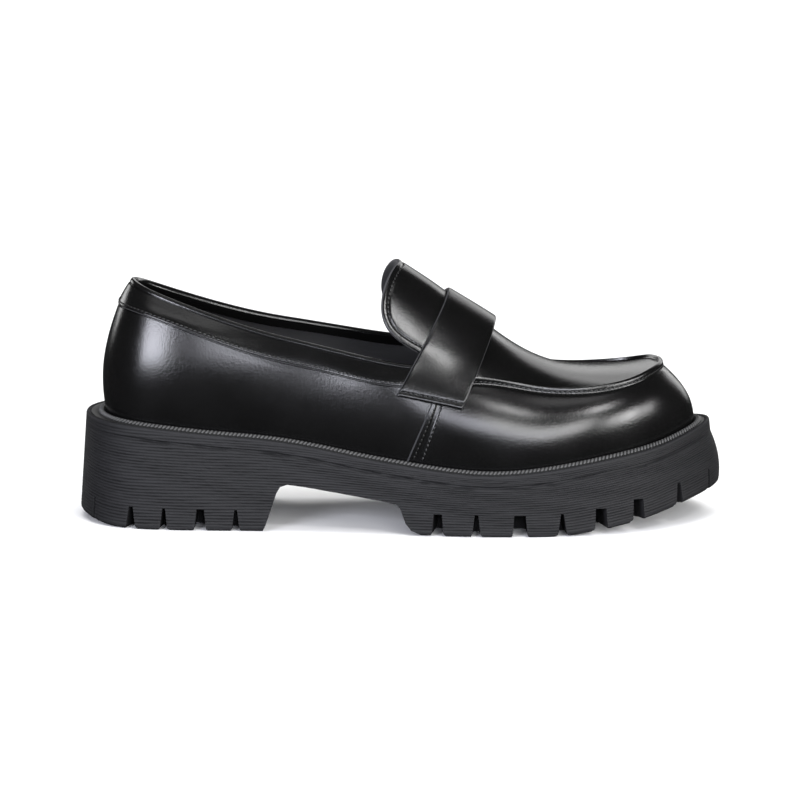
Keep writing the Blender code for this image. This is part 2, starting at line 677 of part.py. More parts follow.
def taut_reach(held, direction):
    """Distance from the centre to the tight band in a direction (across, up)."""
    sides = [turn(point, direction) for point in held]
    beyond = 0 if sides[0] > 0 else len(held) - 2
    i = next((k for k in range(len(held) - 1) if sides[k] <= 0 <= sides[k + 1]), beyond)
    share = sides[i] / (sides[i] - sides[i + 1])
    return float(np.dot(held[i] + (held[i + 1] - held[i]) * share, direction))


def strap_lines(tree):
    """Under face of the strap and the way it faces; each of its lines lies in a plane that leans with it."""
    angles = np.radians(np.linspace(-90, 90, STRAP_STEPS + 1))
    compass = np.column_stack([np.sin(angles), np.cos(angles)])
    under = np.zeros((STRAP_STEPS + 1, STRAP_ACROSS, 3))
    facing = np.zeros_like(under)
    for j, share in enumerate(np.linspace(0, 1, STRAP_ACROSS)):
        top = np.array(STRAP_BACK_TOP) * (1 - share) + np.array(STRAP_FRONT_TOP) * share
        end = np.array(STRAP_BACK_END) * (1 - share) + np.array(STRAP_FRONT_END) * share
        centre = np.array([end[0], 0, end[1]])
        rise = np.array([top[0] - end[0], 0, top[1] - end[1]])
        rise /= np.linalg.norm(rise)
        facing[:, j] = np.outer(compass[:, 0], (0, 1.0, 0)) + np.outer(compass[:, 1], rise)
        line = []
        for angle in np.radians(np.arange(-90, 91)):
            flat = np.array([math.sin(angle), math.cos(angle)])
            direction = np.array([0, flat[0], 0]) + rise * flat[1]
            hit = tree.ray_cast(Vector(centre + direction * RAY_START), Vector(-direction))
            if hit[0] and hit[3] < RAY_START:
                line.append(flat * (RAY_START - hit[3]))
        held = taut(line)
        lift = STRAP_CLEARANCE + STRAP_LIFT * share * np.cos(angles) ** 2
        reach = np.array([taut_reach(held, flat) for flat in compass]) + lift
        under[:, j] = centre + facing[:, j] * reach[:, None]
    return under, facing


def strap_rings(under, facing):
    """Sections of the strap along its length, with rounded upper edges."""
    rings = []
    for low, normal in zip(under, facing):
        back = (low[-1] - low[0]) / np.linalg.norm(low[-1] - low[0])
        over = low + normal * STRAP_THICKNESS
        over[0] += back * STRAP_ROUNDING
        over[-1] -= back * STRAP_ROUNDING
        shoulder_back = low[0] + normal[0] * (STRAP_THICKNESS - STRAP_ROUNDING)
        shoulder_front = low[-1] + normal[-1] * (STRAP_THICKNESS - STRAP_ROUNDING)
        rings.append(np.concatenate([low, [shoulder_front], over[::-1], [shoulder_back]]))
    return rings


def make_strap(parts, parent, tree):
    """Band across the instep, from one wall of the vamp to the other."""
    made = solid("saddle_strap", strap_rings(*strap_lines(tree)), parts, parent)
    finish(made, (0.012, 0.012, 0.013), 0.33)


def main():
    for old in list(bpy.data.objects):
        bpy.data.objects.remove(old)
    parts = bpy.data.collections.new("platform_loafer")
    cutters = bpy.data.collections.new("cutters")
    for collection in (parts, cutters):
        bpy.context.scene.collection.children.link(collection)
    stand = bpy.data.objects.new("shoe_frame", None)
    stand.location = (
        -MM * (HEEL_END + TOE_END) / 2,
        MM * (LATERAL_REACH - MEDIAL_REACH) / 2,
        0,
    )
    parts.objects.link(stand)

    make_outsole(parts, cutters, stand)
    make_welt(parts, stand)
    make_insole(parts, stand)
    outer, inner, facing = make_upper(parts, stand)
    make_collar_band(parts, stand, outer, inner, facing)
    tongue = make_tongue(parts, stand)
    make_strap(parts, stand, surface_tree(((outer, True), (tongue, False))))


main()
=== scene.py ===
"""Looks of a black platform loafer for the right foot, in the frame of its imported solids.

Sizes are millimetres in last coordinates: x runs from the back of the sole to the toe, the little-toe side
is -y, and z is the height above the floor. Each piece is a flat grid laid over the last's own functions, and
is moved to the frame, in metres, when it is finished.
"""

import math
from functools import lru_cache

import bmesh
import bpy
import numpy as np
from bpy.props import FloatProperty, FloatVectorProperty, PointerProperty
from bpy.types import Operator, Panel, PropertyGroup
from mathutils import Matrix, Vector
from mathutils.bvhtree import BVHTree


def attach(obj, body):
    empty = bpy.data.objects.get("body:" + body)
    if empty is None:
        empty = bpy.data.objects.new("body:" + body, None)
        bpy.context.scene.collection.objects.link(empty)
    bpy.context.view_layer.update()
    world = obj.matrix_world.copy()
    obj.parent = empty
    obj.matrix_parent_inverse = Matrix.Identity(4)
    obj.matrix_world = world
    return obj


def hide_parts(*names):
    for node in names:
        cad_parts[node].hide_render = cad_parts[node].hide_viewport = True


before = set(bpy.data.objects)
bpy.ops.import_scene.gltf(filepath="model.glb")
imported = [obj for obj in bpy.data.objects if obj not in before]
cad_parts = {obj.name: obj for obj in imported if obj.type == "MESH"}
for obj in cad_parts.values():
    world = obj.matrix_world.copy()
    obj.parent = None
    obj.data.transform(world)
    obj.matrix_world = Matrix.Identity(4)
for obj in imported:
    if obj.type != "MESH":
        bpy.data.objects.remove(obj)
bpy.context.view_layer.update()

bl_info = {
    "name": "Platform loafer",
    "version": (1, 0, 0),
    "blender": (4, 5, 0),
    "location": "View3D > Sidebar > Loafer",
    "description": "Dresses the solids of a black platform loafer",
    "category": "Object",
}

MM = 0.001
SHIFT = np.array([-137.3, 0.75, 0.0])  # from last coordinates to the frame

# Driving sizes of the last and the sole, as in the solids
GAP = 0.3               # clearance between pieces that touch
WALL = 1.8              # upper: leather with its lining
RIM_MARGIN = 5.8        # sole edge outside the feather line, along the sides
RIM_MARGIN_HEEL = 2.8   # added to it at the back of the heel
RIM_MARGIN_TOE = 1.0    # added to it at the toe
SIDE_FLARE = 2.0        # how much wider the sole is at the floor, along the sides
SIDE_FLARE_HEEL = 0.4   # added to it at the back of the heel
SIDE_FLARE_TOE = 2.2    # added to it at the toe

# The posts stand around the shoe, from the heel along the little-toe side to the toe and back along the
# big-toe side. f is the feather line where the wall leaves the sole, s the seam (collar seam on the quarters,
# apron seam on the vamp), o the edge of the opening. flare, lean and lip are the wall's slopes there in
# degrees from upright. vamp is 1 where the apron closes the top.
POST_COLUMNS = ("fx", "fy", "flare", "sx", "sy", "sz", "lean", "ox", "oy", "oz", "lip", "vamp")
POSTS = {
    "heel_back": (10.6, 0.0, 11, 16.0, 0.0, 92.6, 20, 21.8, 0.0, 103.2, 34, 0),
    "heel_corner_lateral": (18.0, -19.3, 11, 21.6, -16.4, 92.6, 20, 26.5, -11.0, 101.7, 34, 0),
    "heel_side_lateral": (40.0, -27.5, 9, 41.0, -25.4, 87.2, 16, 42.3, -18.0, 96.2, 34, 0),
    "quarter_lateral": (74.0, -29.8, 8, 74.4, -28.8, 75.7, 12, 74.4, -23.4, 85.6, 28, 0),
    "waist_lateral": (108.0, -33.5, 8, 108.0, -33.0, 68.4, 10, 108.0, -28.6, 77.8, 22, 0),
    "throat_lateral": (140.0, -38.5, 8, 140.0, -37.8, 63.6, 14, 147.0, -34.2, 71.6, 20, 0),
    "joint_lateral": (170.0, -42.5, 8, 170.0, -31.8, 65.5, 48, 158.0, -27.0, 79.5, 40, 1),
    "ball_lateral": (196.0, -42.3, 8, 196.0, -28.8, 61.2, 56, 163.5, -17.5, 85.0, 40, 1),
    "toe_side_lateral": (219.0, -38.3, 7, 218.0, -27.8, 60.4, 58, 166.0, -10.5, 87.4, 40, 1),
    "toe_corner_lateral": (239.0, -29.5, 6, 235.3, -21.8, 62.5, 56, 167.0, -5.8, 88.5, 40, 1),
    "toe_turn_lateral": (254.5, -15.0, 5, 245.4, -11.5, 65.2, 52, 167.6, -2.4, 88.9, 40, 1),
    "toe_tip": (264.0, 4.0, 4, 249.4, 3.0, 66.1, 48, 167.8, 0.0, 89.0, 40, 1),
    "toe_turn_medial": (257.5, 20.5, 5, 245.8, 16.5, 65.2, 52, 167.6, 2.4, 88.9, 40, 1),
    "toe_corner_medial": (243.5, 33.0, 6, 237.0, 26.0, 62.4, 56, 167.0, 5.8, 88.5, 40, 1),
    "toe_side_medial": (224.0, 39.5, 7, 220.0, 29.0, 60.4, 58, 166.0, 10.5, 87.4, 40, 1),
    "ball_medial": (198.0, 40.8, 8, 197.0, 29.2, 61.2, 56, 163.5, 17.5, 85.0, 40, 1),
    "joint_medial": (168.0, 37.5, 9, 169.0, 31.4, 65.5, 48, 158.0, 27.0, 79.5, 40, 1),
    "throat_medial": (139.0, 31.0, 12, 139.0, 35.4, 63.6, 14, 147.0, 33.2, 71.6, 20, 0),
    "waist_medial": (108.0, 26.8, 14, 108.0, 31.6, 68.2, 10, 108.0, 28.2, 77.4, 22, 0),
    "quarter_medial": (74.0, 26.6, 11, 74.4, 28.4, 74.9, 12, 74.4, 23.2, 84.4, 28, 0),
    "heel_side_medial": (40.0, 26.6, 9, 41.0, 25.2, 86.0, 16, 42.3, 18.0, 94.4, 34, 0),
    "heel_corner_medial": (18.0, 19.0, 11, 21.6, 16.2, 92.0, 20, 26.5, 11.0, 100.8, 34, 0),
}

# Heights along the shoe: (x, z)
SEAT_HEIGHT = ((0, 45.4), (18, 44.4), (32, 43.3), (48, 41.8), (66, 40.3), (78, 39.3), (90, 37.9), (104, 35.6),
               (120, 32.6), (136, 30.1), (150, 28.1), (164, 26.6), (176, 26.0), (186, 26.3), (198, 27.4),
               (212, 29.4), (226, 31.6), (240, 33.7), (250, 35.4), (260, 37.9), (276, 42.9))
TREAD_HEIGHT = ((0, 3.2), (8, 1.2), (16, 0.2), (24, 0), (60, 0), (180, 0), (203, 0), (224, 2.3), (241, 5.4),
                (258, 9.7), (276, 14.2))
CREST_HEIGHT = ((122, 121.5), (138.7, 110.4), (155, 99.2), (168, 88.8), (179, 79.8), (185.7, 75.0),
                (192.6, 70.8), (199.5, 67.6), (206, 65.4), (213, 64.2), (222, 63.6), (232, 63.8),
                (245, 65.2), (256, 66.2))
SEAM_HEIGHT = ((122, 62.4), (140, 63.8), (170, 65.5), (196, 61.2), (218, 60.4), (236, 62.4), (247, 64.8),
               (256, 66))
# Half the apron's width along the shoe: (x, half width)
APRON_HALF_WIDTH = ((122, 38.6), (140, 38.0), (155, 35.0), (170, 31.8), (196, 29.0), (218, 28.4), (236, 25),
                    (256, 20))
APRON_CROWN = 2.15      # exponent of the instep's cross-section
APRON_OVERRUN = 1.15    # share of the half width past which the instep falls no further
TOE_SWING = (190, 60, 3.0)  # where the apron's axis starts to swing to the big toe, over what length, how far
TRIAL_PLACES = 800      # steps in which a place is looked for

# Upper
UPPER_COLUMNS = 300
WALL_ROWS = 24
WALL_TOP = 0.86         # share of the wall at which the rows beside the seam take over
WALL_TENSION = 0.38     # share of the wall's height over which it keeps the slope of its ends
FOOT_FADE = 2.5         # height over which laps and creases fade in above the feather line
SEAM_FADE = (-1.8, 1.6)  # way across the seam where they have faded out, and over what way
TOP_ROWS = 24
INNER_ROWS = 22
# Raised seam around the apron: (way across it from the wall to the apron, height), its stitched face towards
# the wall
RIDGE_PROFILE = ((-4.0, 0), (-3.3, -0.03), (-2.7, -0.1), (-2.3, -0.2), (-2.0, -0.24), (-1.8, -0.16),
                 (-1.55, 0.05), (-1.3, 0.36), (-1.05, 0.7), (-0.8, 1.02), (-0.6, 1.24), (-0.4, 1.46),
                 (-0.15, 1.6), (0.1, 1.58), (0.35, 1.4), (0.55, 1.05), (0.75, 0.5), (0.95, 0.12),
                 (1.3, -0.05), (2.0, 0), (3.0, 0))
APRON_STITCH = -1.3     # way across the seam at which it is sewn
APRON_SLANT = 20.0      # turn of its stitches out of the row, in degrees
BAND_RECESS = 0.7       # step that takes most of the collar band's thickness
BAND_RECESS_FROM = -0.4  # way across the seam where that step begins
LAP_HEIGHT = 0.8        # step where the vamp laps over the quarter
LAP_FADE = 25.0         # length over which that step fades towards the toe
LAP_LOW_X = 140.4       # the lap leans forward: at the feather line and at the seam
LAP_HIGH_X = 155.0
LAP_PULL = 22.0         # reach of the columns that follow the lean
LAP_REACH = 7.6         # the even columns stay this far from the lap
# Columns beside the lap, as the way past it towards the toe
LAP_COLUMNS = (-7.0, -5.4, -4.0, -2.8, -2.0, -1.4, -1.0, -0.7, -0.35, 0.0, 0.3, 0.7, 1.1, 1.5, 1.8, 2.2, 2.6,
               3.1, 3.6, 4.1, 4.6, 5.1, 5.6, 6.2, 7.0)
LAP_STITCH_ROWS = (1.8, 5.6)
LAP_STITCH_ENDS = (2.5, -3.5)  # the rows start this far above the feather line and end this far from the seam
LAP_CHANNEL = 0.45      # depth between the two rows of stitches
LAP_CHANNEL_EDGE = 0.7  # way over which it falls
LAP_BEVEL = 0.7         # width of the lap's skived edge
LAP_BEVEL_MARGIN = 0.1  # columns this near to the edge belong to it
# Soft creases on each side of the vamp and the quarter:
# (x, z, half length, half width, slope in degrees, depth)
CREASES = ((190, 50, 15, 9, 66, 0.06), (152, 44, 11, 6, 74, 0.08), (98, 54, 24, 8, -8, 0.14),
           (66, 60, 20, 8, -14, 0.1))
CREASE_ROLL = (1.9, 0.45)  # the swelling beside a crease: half widths from its middle, share of its depth

# Sole
SOLE_STATIONS = 150
# Top of the sole's side, from the seat over the raised rim and the groove: (depth under the seat, inset)
SOLE_RIM = ((0.1, 2.0), (-0.1, 1.85), (-0.42, 1.5), (-0.6, 1.1), (-0.6, 0.75), (-0.42, 0.38), (0.0, 0.1))
SOLE_BAND = tuple((0.5 + 0.22 * k, 0) for k in range(16))
SOLE_GROOVE = ((4.0, 0.04), (4.25, 0.4), (4.5, 0.72), (4.8, 0.82), (5.1, 0.7), (5.35, 0.36), (5.6, 0.04),
               (6.0, 0))
SOLE_SIDE_TOP = SOLE_RIM + SOLE_BAND + SOLE_GROOVE
GROOVE_ENDS = (0.75, 0.25)  # how far the side faces heel or toe where the groove fades, and over what share
SOLE_SIDE_ROWS = 170
SOLE_EDGE = 1.4         # rounding at the floor
SOLE_EDGE_ROWS = 5
TOE_BULGE = 1.5         # how far the side swells out half-way up the toe
TOE_BULGE_POWER = 0.8   # below 1 the swelling is full over most of the height
SOLE_ACROSS = 12
FLARE_HEIGHT = 40       # height over which the side widens by its flare
ARCH_OUTLINE = ((77.6, -4), (78.1, 0), (79.4, 2.6), (84.2, 17.0), (85.8, 19.6), (88.8, 20.6), (97.0, 19.7),
                (130.0, 14.6), (135.6, 13.4), (137.4, 11.6), (139.6, 5.4), (142.0, 2.4), (146.0, 0.6),
                (150.0, 0), (152.0, -4))
ARCH_REACH = 62.0       # half length of the cutter across the shoe
# Notches between the lugs: (x on the side, width at the floor, width at the top, height, reach inwards)
NOTCHES = ((5.3, 1.4, 1.0, 9.5, 9), (21.2, 4.5, 1.8, 9.6, 15), (35.5, 3.4, 1.2, 9.6, 12),
           (51.3, 5.3, 3.2, 9.4, 17), (66.6, 3.4, 1.2, 9.2, 12), (153.4, 5.2, 3.6, 9.4, 17),
           (170.1, 3.8, 1.6, 9.4, 13), (188.9, 6.5, 5.0, 9.4, 19), (207.2, 4.1, 1.3, 9.6, 13),
           (224.0, 5.8, 4.6, 9.4, 17), (240.2, 5.5, 4.6, 9.4, 15), (257.8, 4.2, 1.8, 9.4, 12),
           (270.6, 1.4, 1.0, 9.0, 9))
NOTCH_OVERRUN = 6.0     # how far a cutter runs past the side and the floor
LUG_CORNER = 1.3        # rounding of a lug's corners at the floor
LUG_CORNER_ANGLES = (0, 30, 50, 70, 90)
POCKETS = ((26, 46), (56, 72), (158, 184), (194, 219), (229, 246))  # hollows in the tread: (first x, last x)
POCKET_DEPTH = 5.0
LUG_LENGTH = 21.0       # side lug, measured inwards
RIB_TILT = 0.6          # how far the ribs of the side follow the rim, at the rim
RIB_DATUM = 45.0        # height of the seat from which a rib's tilt is counted
RIB_DEPTH = 0.36
RIB_FADE = ((0, 0.0), (0.8, 0.5), (1.6, 0.8), (5.8, 0.85), (8.0, 1.0))  # (depth under the seat, share of it)
RIB_START = (0.8, 1.2)  # height over the floor where the ribs begin, and over what height they come in
RIB_WANDER = (0.12, 11, 3)  # share of a pitch by which a rib wanders, and its swing along and up the side
# Waves of each rib's depth along the side: (turns for each mm, shift from rib to rib), and their share
RIB_WAVES = ((0.23, 2.4), (0.079, 1.7))
RIB_UNEVEN = 0.3
SOLE_SHARP = 36.0       # angle in degrees past which an edge of the cut sole stays sharp

# Welt's section: (out from the feather line, share of the rim's margin added to it, height above the seat)
WELT_SECTION = ((0.4, 0, 0.3), (2.4, 0, 0.3), (-2.8, 1, 0.3), (-2.25, 1, 0.3), (-2.15, 1, 0.38),
                (-2.25, 1, 0.46), (3.45, 0, 0.42), (3.2, 0, 0.55), (2.9, 0, 0.85), (2.6, 0, 1.2),
                (2.3, 0, 1.5), (1.95, 0, 1.75), (1.6, 0, 1.85), (1.2, 0, 1.8), (0.9, 0, 1.5), (0.7, 0, 1.0))
WELT_COLUMNS = 420
# The heavy seam lies across the slope of the bead: (out from the feather line, height), then its slope and
# the slant of its stitches in degrees
WELT_STITCH = (2.6, 1.25)
WELT_STITCH_SLOPE = 50.0
WELT_STITCH_SLANT = 58.0
WELT_STITCH_LENGTH = 2.4

# Insole
INSOLE_INSET = WALL + 0.6
INSOLE_SECTION = ((0, 0), (2.4, 0), (3.2, 0.25), (3.7, 0.8), (3.95, 1.6), (4.0, 2.6))  # (height, inset)
INSOLE_ACROSS = 16
INSOLE_STATIONS = 110

# Collar band
BAND_COLUMNS = 260
BAND_STANDS = 0.4       # its face outside the upper's own
BAND_INSIDE = 1.1       # its face inside the lining
BAND_THICKNESS = 0.8
BAND_RISE = 1.1         # height of its rolled top
BAND_TUCK = 2.6         # how far its ends run under the strap
BAND_SEARCH_X = 175     # its ends are looked for up to here
BAND_SEARCH_PLACES = 500
BAND_OUTER_SHARES = (0.0, 0.01, 0.03, 0.05, 0.08, 0.13, 0.18, 0.24, 0.32, 0.4, 0.5, 0.6, 0.7, 0.78, 0.825,
                     0.85, 0.87, 0.89, 0.92, 0.96, 1.0)
# Share of its stand in each row, with the groove under its rolled top
BAND_FACE = (0.1, 0.55, 0.9, 1, 1, 1, 1, 1, 1, 1, 1, 1, 1, 1, 0.95, 0.6, 0.35, 0.6, 0.95, 1, 1)
BAND_INNER_SHARES = (0.97, 0.93, 0.88, 0.83, 0.78, 0.73, 0.69, 0.66, 0.64)
BAND_EDGE_ROWS = 2      # rows of faces on its cut lower edge, whose lighter edge colour is partly a painted highlight
BAND_ROLL = 9           # points over its rolled top
BAND_STITCH_SHARE = 0.15  # share of its width at which it is sewn

# Tongue
TONGUE_THICKNESS = 2.4
TONGUE_SLOPE = 32.0     # fall of the instep under it, in degrees
TONGUE_HALF_WIDTH = 31.3
TONGUE_BASE_X = 174.0   # ridge of the plane in which its rounded outline starts
TONGUE_TOP_X = 137.0
TONGUE_SQUARENESS = 4.1  # exponent of its rounded outline
TONGUE_EARS = 4.2       # its corners reach this much further back than its middle
TONGUE_SWEEP = 81.0     # half angle over which the outline is drawn; it stops behind the throat
TONGUE_COLUMNS = 96
TONGUE_ROWS = 56
TONGUE_CROWDING = 1.6   # how much closer its rows lie towards its free edge
THROAT_HALF_WIDTH = 30.2
THROAT_GAP = 0.5
THROAT_PLACES = 300
THROAT_BACK_SHARE = 0.97  # row of the upper that shows which way its throat's edge faces
TONGUE_ROUNDING = 1.15
TONGUE_STITCH_INSET = 2.9
TONGUE_GROOVE = 0.45
TONGUE_GROOVE_HALF = 0.55
TONGUE_EDGE = 0.55      # width of its lighter cut edge, whose grey is partly a painted highlight

# Saddle strap: (x, z) of each edge seen from the side, at its top and at its ends
STRAP_BACK_TOP = (156.6, 96.0)
STRAP_BACK_END = (135.7, 60.0)
STRAP_FRONT_TOP = (177.6, 83.6)
STRAP_FRONT_END = (164.0, 54.6)
STRAP_THICKNESS = 1.9
STRAP_LIFT = 2.4        # how far its front edge stands off the vamp on top
STRAP_ROUNDING = 0.75
STRAP_CLEARANCE = 0.35  # over the pieces under it
STRAP_STEPS = 150
STRAP_ACROSS = 33
STRAP_RAYS = 361
STRAP_SOFTNESS = 4      # steps over which the strap rounds off what lies under it
STRAP_STITCH_INSET = 2.3
STRAP_GROOVE = 0.4
STRAP_GROOVE_HALF = 0.5
STRAP_CORNER_STEPS = 5  # points on each rounded shoulder
STRAP_SEAM_TRIM = 2     # points left free at each end of its seams
# Extra sections beside each end, as the way from it
STRAP_END_WAYS = (0.0, 0.08, 0.2, 0.4, 0.7, 1.1, 1.5, 1.75, 1.95, 2.15, 2.3, 2.45, 2.65, 2.85, 3.1, 3.6, 4.2)
STRAP_END_CLEAR = 0.4   # the plain sections stay this far from them
RAY_START = 120.0       # distance from which the pieces under it are looked for

# Meshes and stitches
JOIN_DISTANCE = 0.004   # points nearer than this are one
SLIVER = 0.002          # edges shorter than this are taken out
SHARP_ANGLE = 38.0      # degrees past which an edge stays sharp
STITCH_SIDES = 8
STITCH_RINGS = 5
STITCH_FLATNESS = 0.8   # height of a stitch as a share of its thread's width
STITCH_SHARE = 0.86     # length of a stitch as a share of its pitch
STITCH_SLANT = 8.0      # turn of a stitch out of its row, in degrees


def linear(code):
    """Linear colour, with alpha, of an sRGB hex value."""
    parts = [int(code[i : i + 2], 16) / 255 for i in (1, 3, 5)]
    return [c / 12.92 if c <= 0.04045 else ((c + 0.055) / 1.055) ** 2.4 for c in parts] + [1.0]


def spline(knots, values, period=None):
    """Cubic spline through a table: closed on itself where a period is given, else straight at its ends."""
    knots = np.asarray(knots, float)
    values = np.asarray(values, float)
    count = len(knots)
    matrix = np.eye(count)
    target = np.zeros(count)
    if period:
        steps = np.diff(np.append(knots, knots[0] + period))
        slopes = np.diff(np.append(values, values[0])) / steps
        inner = range(count)
    else:
        steps = np.diff(knots)
        slopes = np.diff(values) / steps
        inner = range(1, count - 1)
    for i in inner:
        matrix[i] = 0
        matrix[i, i - 1] += steps[i - 1]
        matrix[i, i] += 2 * (steps[i - 1] + steps[i])
        matrix[i, (i + 1) % count] += steps[i]
        target[i] = 6 * (slopes[i] - slopes[i - 1])
    bends = np.linalg.solve(matrix, target)

    def at(where):
        where = np.asarray(where, float)
        where = knots[0] + (where - knots[0]) % period if period else np.clip(where, knots[0], knots[-1])
        i = np.clip(np.searchsorted(knots, where, side="right") - 1, 0, len(steps) - 1)
        j = (i + 1) % count
        rest = where - knots[i]
        bend = (bends[j] - bends[i]) / (6 * steps[i])
        slope = slopes[i] - steps[i] * (2 * bends[i] + bends[j]) / 6
        return values[i] + rest * (slope + rest * (bends[i] / 2 + rest * bend))

    return at


def height_table(rows):
    return spline([row[0] for row in rows], [row[1] for row in rows])


POST_TABLE = np.array(list(POSTS.values()), float)
POST_CHORDS = np.linalg.norm(np.roll(POST_TABLE[:, :2], -1, axis=0) - POST_TABLE[:, :2], axis=1)
GIRTH = POST_CHORDS.sum()
POST_PLACES = np.append(0, np.cumsum(POST_CHORDS)[:-1])
TOE_PLACE = POST_PLACES[list(POSTS).index("toe_tip")]
POST = {name: spline(POST_PLACES, POST_TABLE[:, i], GIRTH) for i, name in enumerate(POST_COLUMNS)}

seat_height = height_table(SEAT_HEIGHT)
crest_height = height_table(CREST_HEIGHT)
seam_height = height_table(SEAM_HEIGHT)
apron_half_width = height_table(APRON_HALF_WIDTH)
tread_curve = height_table(TREAD_HEIGHT)


def tread_height(x):
    """Floor of the sole: flat under heel and forefoot."""
    return np.maximum(tread_curve(x), 0)


def around(count):
    """Places around the shoe: equal steps from the heel to the toe, and from the toe back to the heel."""
    lateral = np.linspace(0, TOE_PLACE, count // 2 + 1)
    medial = np.linspace(TOE_PLACE, GIRTH, count // 2 + 1)
    return np.concatenate([lateral[:-1], medial[:-1]])


def outward(place):
    """Unit vectors in plan that point out of the feather line."""
    step = 0.5
    dx = POST["fx"](place + step) - POST["fx"](place - step)
    dy = POST["fy"](place + step) - POST["fy"](place - step)
    length = np.hypot(dx, dy)
    return np.stack([dy / length, -dx / length], axis=-1)


def plan_ring(place, offset):
    """The feather line moved out by an offset: (x, y)."""
    line = np.stack([POST["fx"](place), POST["fy"](place)], axis=-1)
    return line + outward(place) * np.asarray(offset)[..., None]


def by_end(place, sides, heel, toe):
    """A size along the sides, with what is added to it towards the heel and the toe."""
    facing = outward(place)[:, 0]
    return sides + heel * np.maximum(-facing, 0) + toe * np.maximum(facing, 0)


def rim_margin(place):
    return by_end(place, RIM_MARGIN, RIM_MARGIN_HEEL, RIM_MARGIN_TOE)


def side_flare(place):
    return by_end(place, SIDE_FLARE, SIDE_FLARE_HEEL, SIDE_FLARE_TOE)


def with_height(plan, heights):
    return np.column_stack([plan, np.broadcast_to(heights, len(plan))])


def smooth(share):
    share = np.clip(share, 0, 1)
    return share * share * (3 - 2 * share)


def apron(x, y):
    """Height of the instep: apron, throat and tongue lie on it."""
    start, length, swing = TOE_SWING
    axis = swing * np.clip((x - start) / length, 0, 1) ** 2
    across = np.clip(np.abs(y - axis) / apron_half_width(x), 0, APRON_OVERRUN)
    edge = seam_height(x)
    return edge + (crest_height(x) - edge) * (1 - across**APRON_CROWN)


def bezier(a, b, c, d, share):
    rest = 1 - share
    return a * rest**3 + 3 * b * rest**2 * share + 3 * c * rest * share**2 + d * share**3


def slope_vector(place, degrees):
    """Unit vectors that rise from upright, leaning out by an angle."""
    angle = np.radians(degrees)
    return np.column_stack([outward(place) * np.sin(angle)[:, None], np.cos(angle)])


def foot_ring(place):
    foot = with_height(plan_ring(place, np.zeros(len(place))), 0)
    foot[:, 2] = seat_height(foot[:, 0]) + GAP
    return foot


def post_ring(place, *columns):
    return np.column_stack([POST[name](place) for name in columns])


def seam_ring(place):
    return post_ring(place, "sx", "sy", "sz")


def edge_ring(place):
    return post_ring(place, "ox", "oy", "oz")


def wall_ring(place, share):
    """Outer face of the wall: 0 at the feather line, 1 at the seam."""
    foot = foot_ring(place)
    seam = seam_ring(place)
    share = np.broadcast_to(share, len(place))[:, None]
    reach = WALL_TENSION * np.linalg.norm(seam - foot, axis=1)[:, None]
    low = foot + reach * slope_vector(place, POST["flare"](place))
    high = seam - reach * slope_vector(place, -POST["lean"](place))
    return bezier(foot, low, high, seam, share)


def top_ring(place, share):
    """Outer face above the seam: 0 at the seam, 1 at the edge of the opening."""
    seam = seam_ring(place)
    edge = edge_ring(place)
    share = np.broadcast_to(share, len(place))[:, None]
    reach = np.linalg.norm(edge - seam, axis=1)[:, None] / 3
    low = seam + reach * slope_vector(place, -POST["lean"](place))
    high = edge - reach * slope_vector(place, -POST["lip"](place))
    quarter = bezier(seam, low, high, edge, share)
    vamp = seam + (edge - seam) * share
    step_at_seam = seam[:, 2] - apron(seam[:, 0], seam[:, 1])
    vamp[:, 2] = apron(vamp[:, 0], vamp[:, 1]) + step_at_seam * (1 - share[:, 0]) ** 2
    weight = smooth(POST["vamp"](place))[:, None]
    return quarter + (vamp - quarter) * weight


def floor_reach(place):
    """How far the sole's edge at the floor stands outside the feather line."""
    return rim_margin(place) + side_flare(place)


def place_at(x, side, reach=np.zeros_like):
    """The place on one side, -1 little toe or 1 big toe, where the line moved out by a reach is at x."""
    ends = (0, TOE_PLACE) if side < 0 else (GIRTH, TOE_PLACE)
    trial = np.linspace(*ends, TRIAL_PLACES)
    return float(np.interp(x, plan_ring(trial, reach(trial))[:, 0], trial))


def leaning(place, share):
    """Columns near a vamp lap moved along the shoe so that they follow its lean."""
    moved = place.copy()
    for side in (-1, 1):
        low = place_at(LAP_LOW_X, side)
        high = place_at(LAP_HIGH_X, side)
        moved += (high - low) * share * np.exp(-(((place - low) / LAP_PULL) ** 2))
    return moved


def unit(vectors):
    return vectors / np.linalg.norm(vectors, axis=-1)[..., None]


def facing_of(grid, closed):
    """Outward unit normals of a grid of rows that climb the shoe; closed columns run on, last to first."""
    if closed:
        along = np.roll(grid, -1, axis=1) - np.roll(grid, 1, axis=1)
    else:
        along = np.gradient(grid, axis=1)
    return unit(np.cross(along, np.gradient(grid, axis=0)))


# Meshes

GROOVE_NAME = "groove"  # attribute of a mesh by which its material paints shade on the floor of its grooves
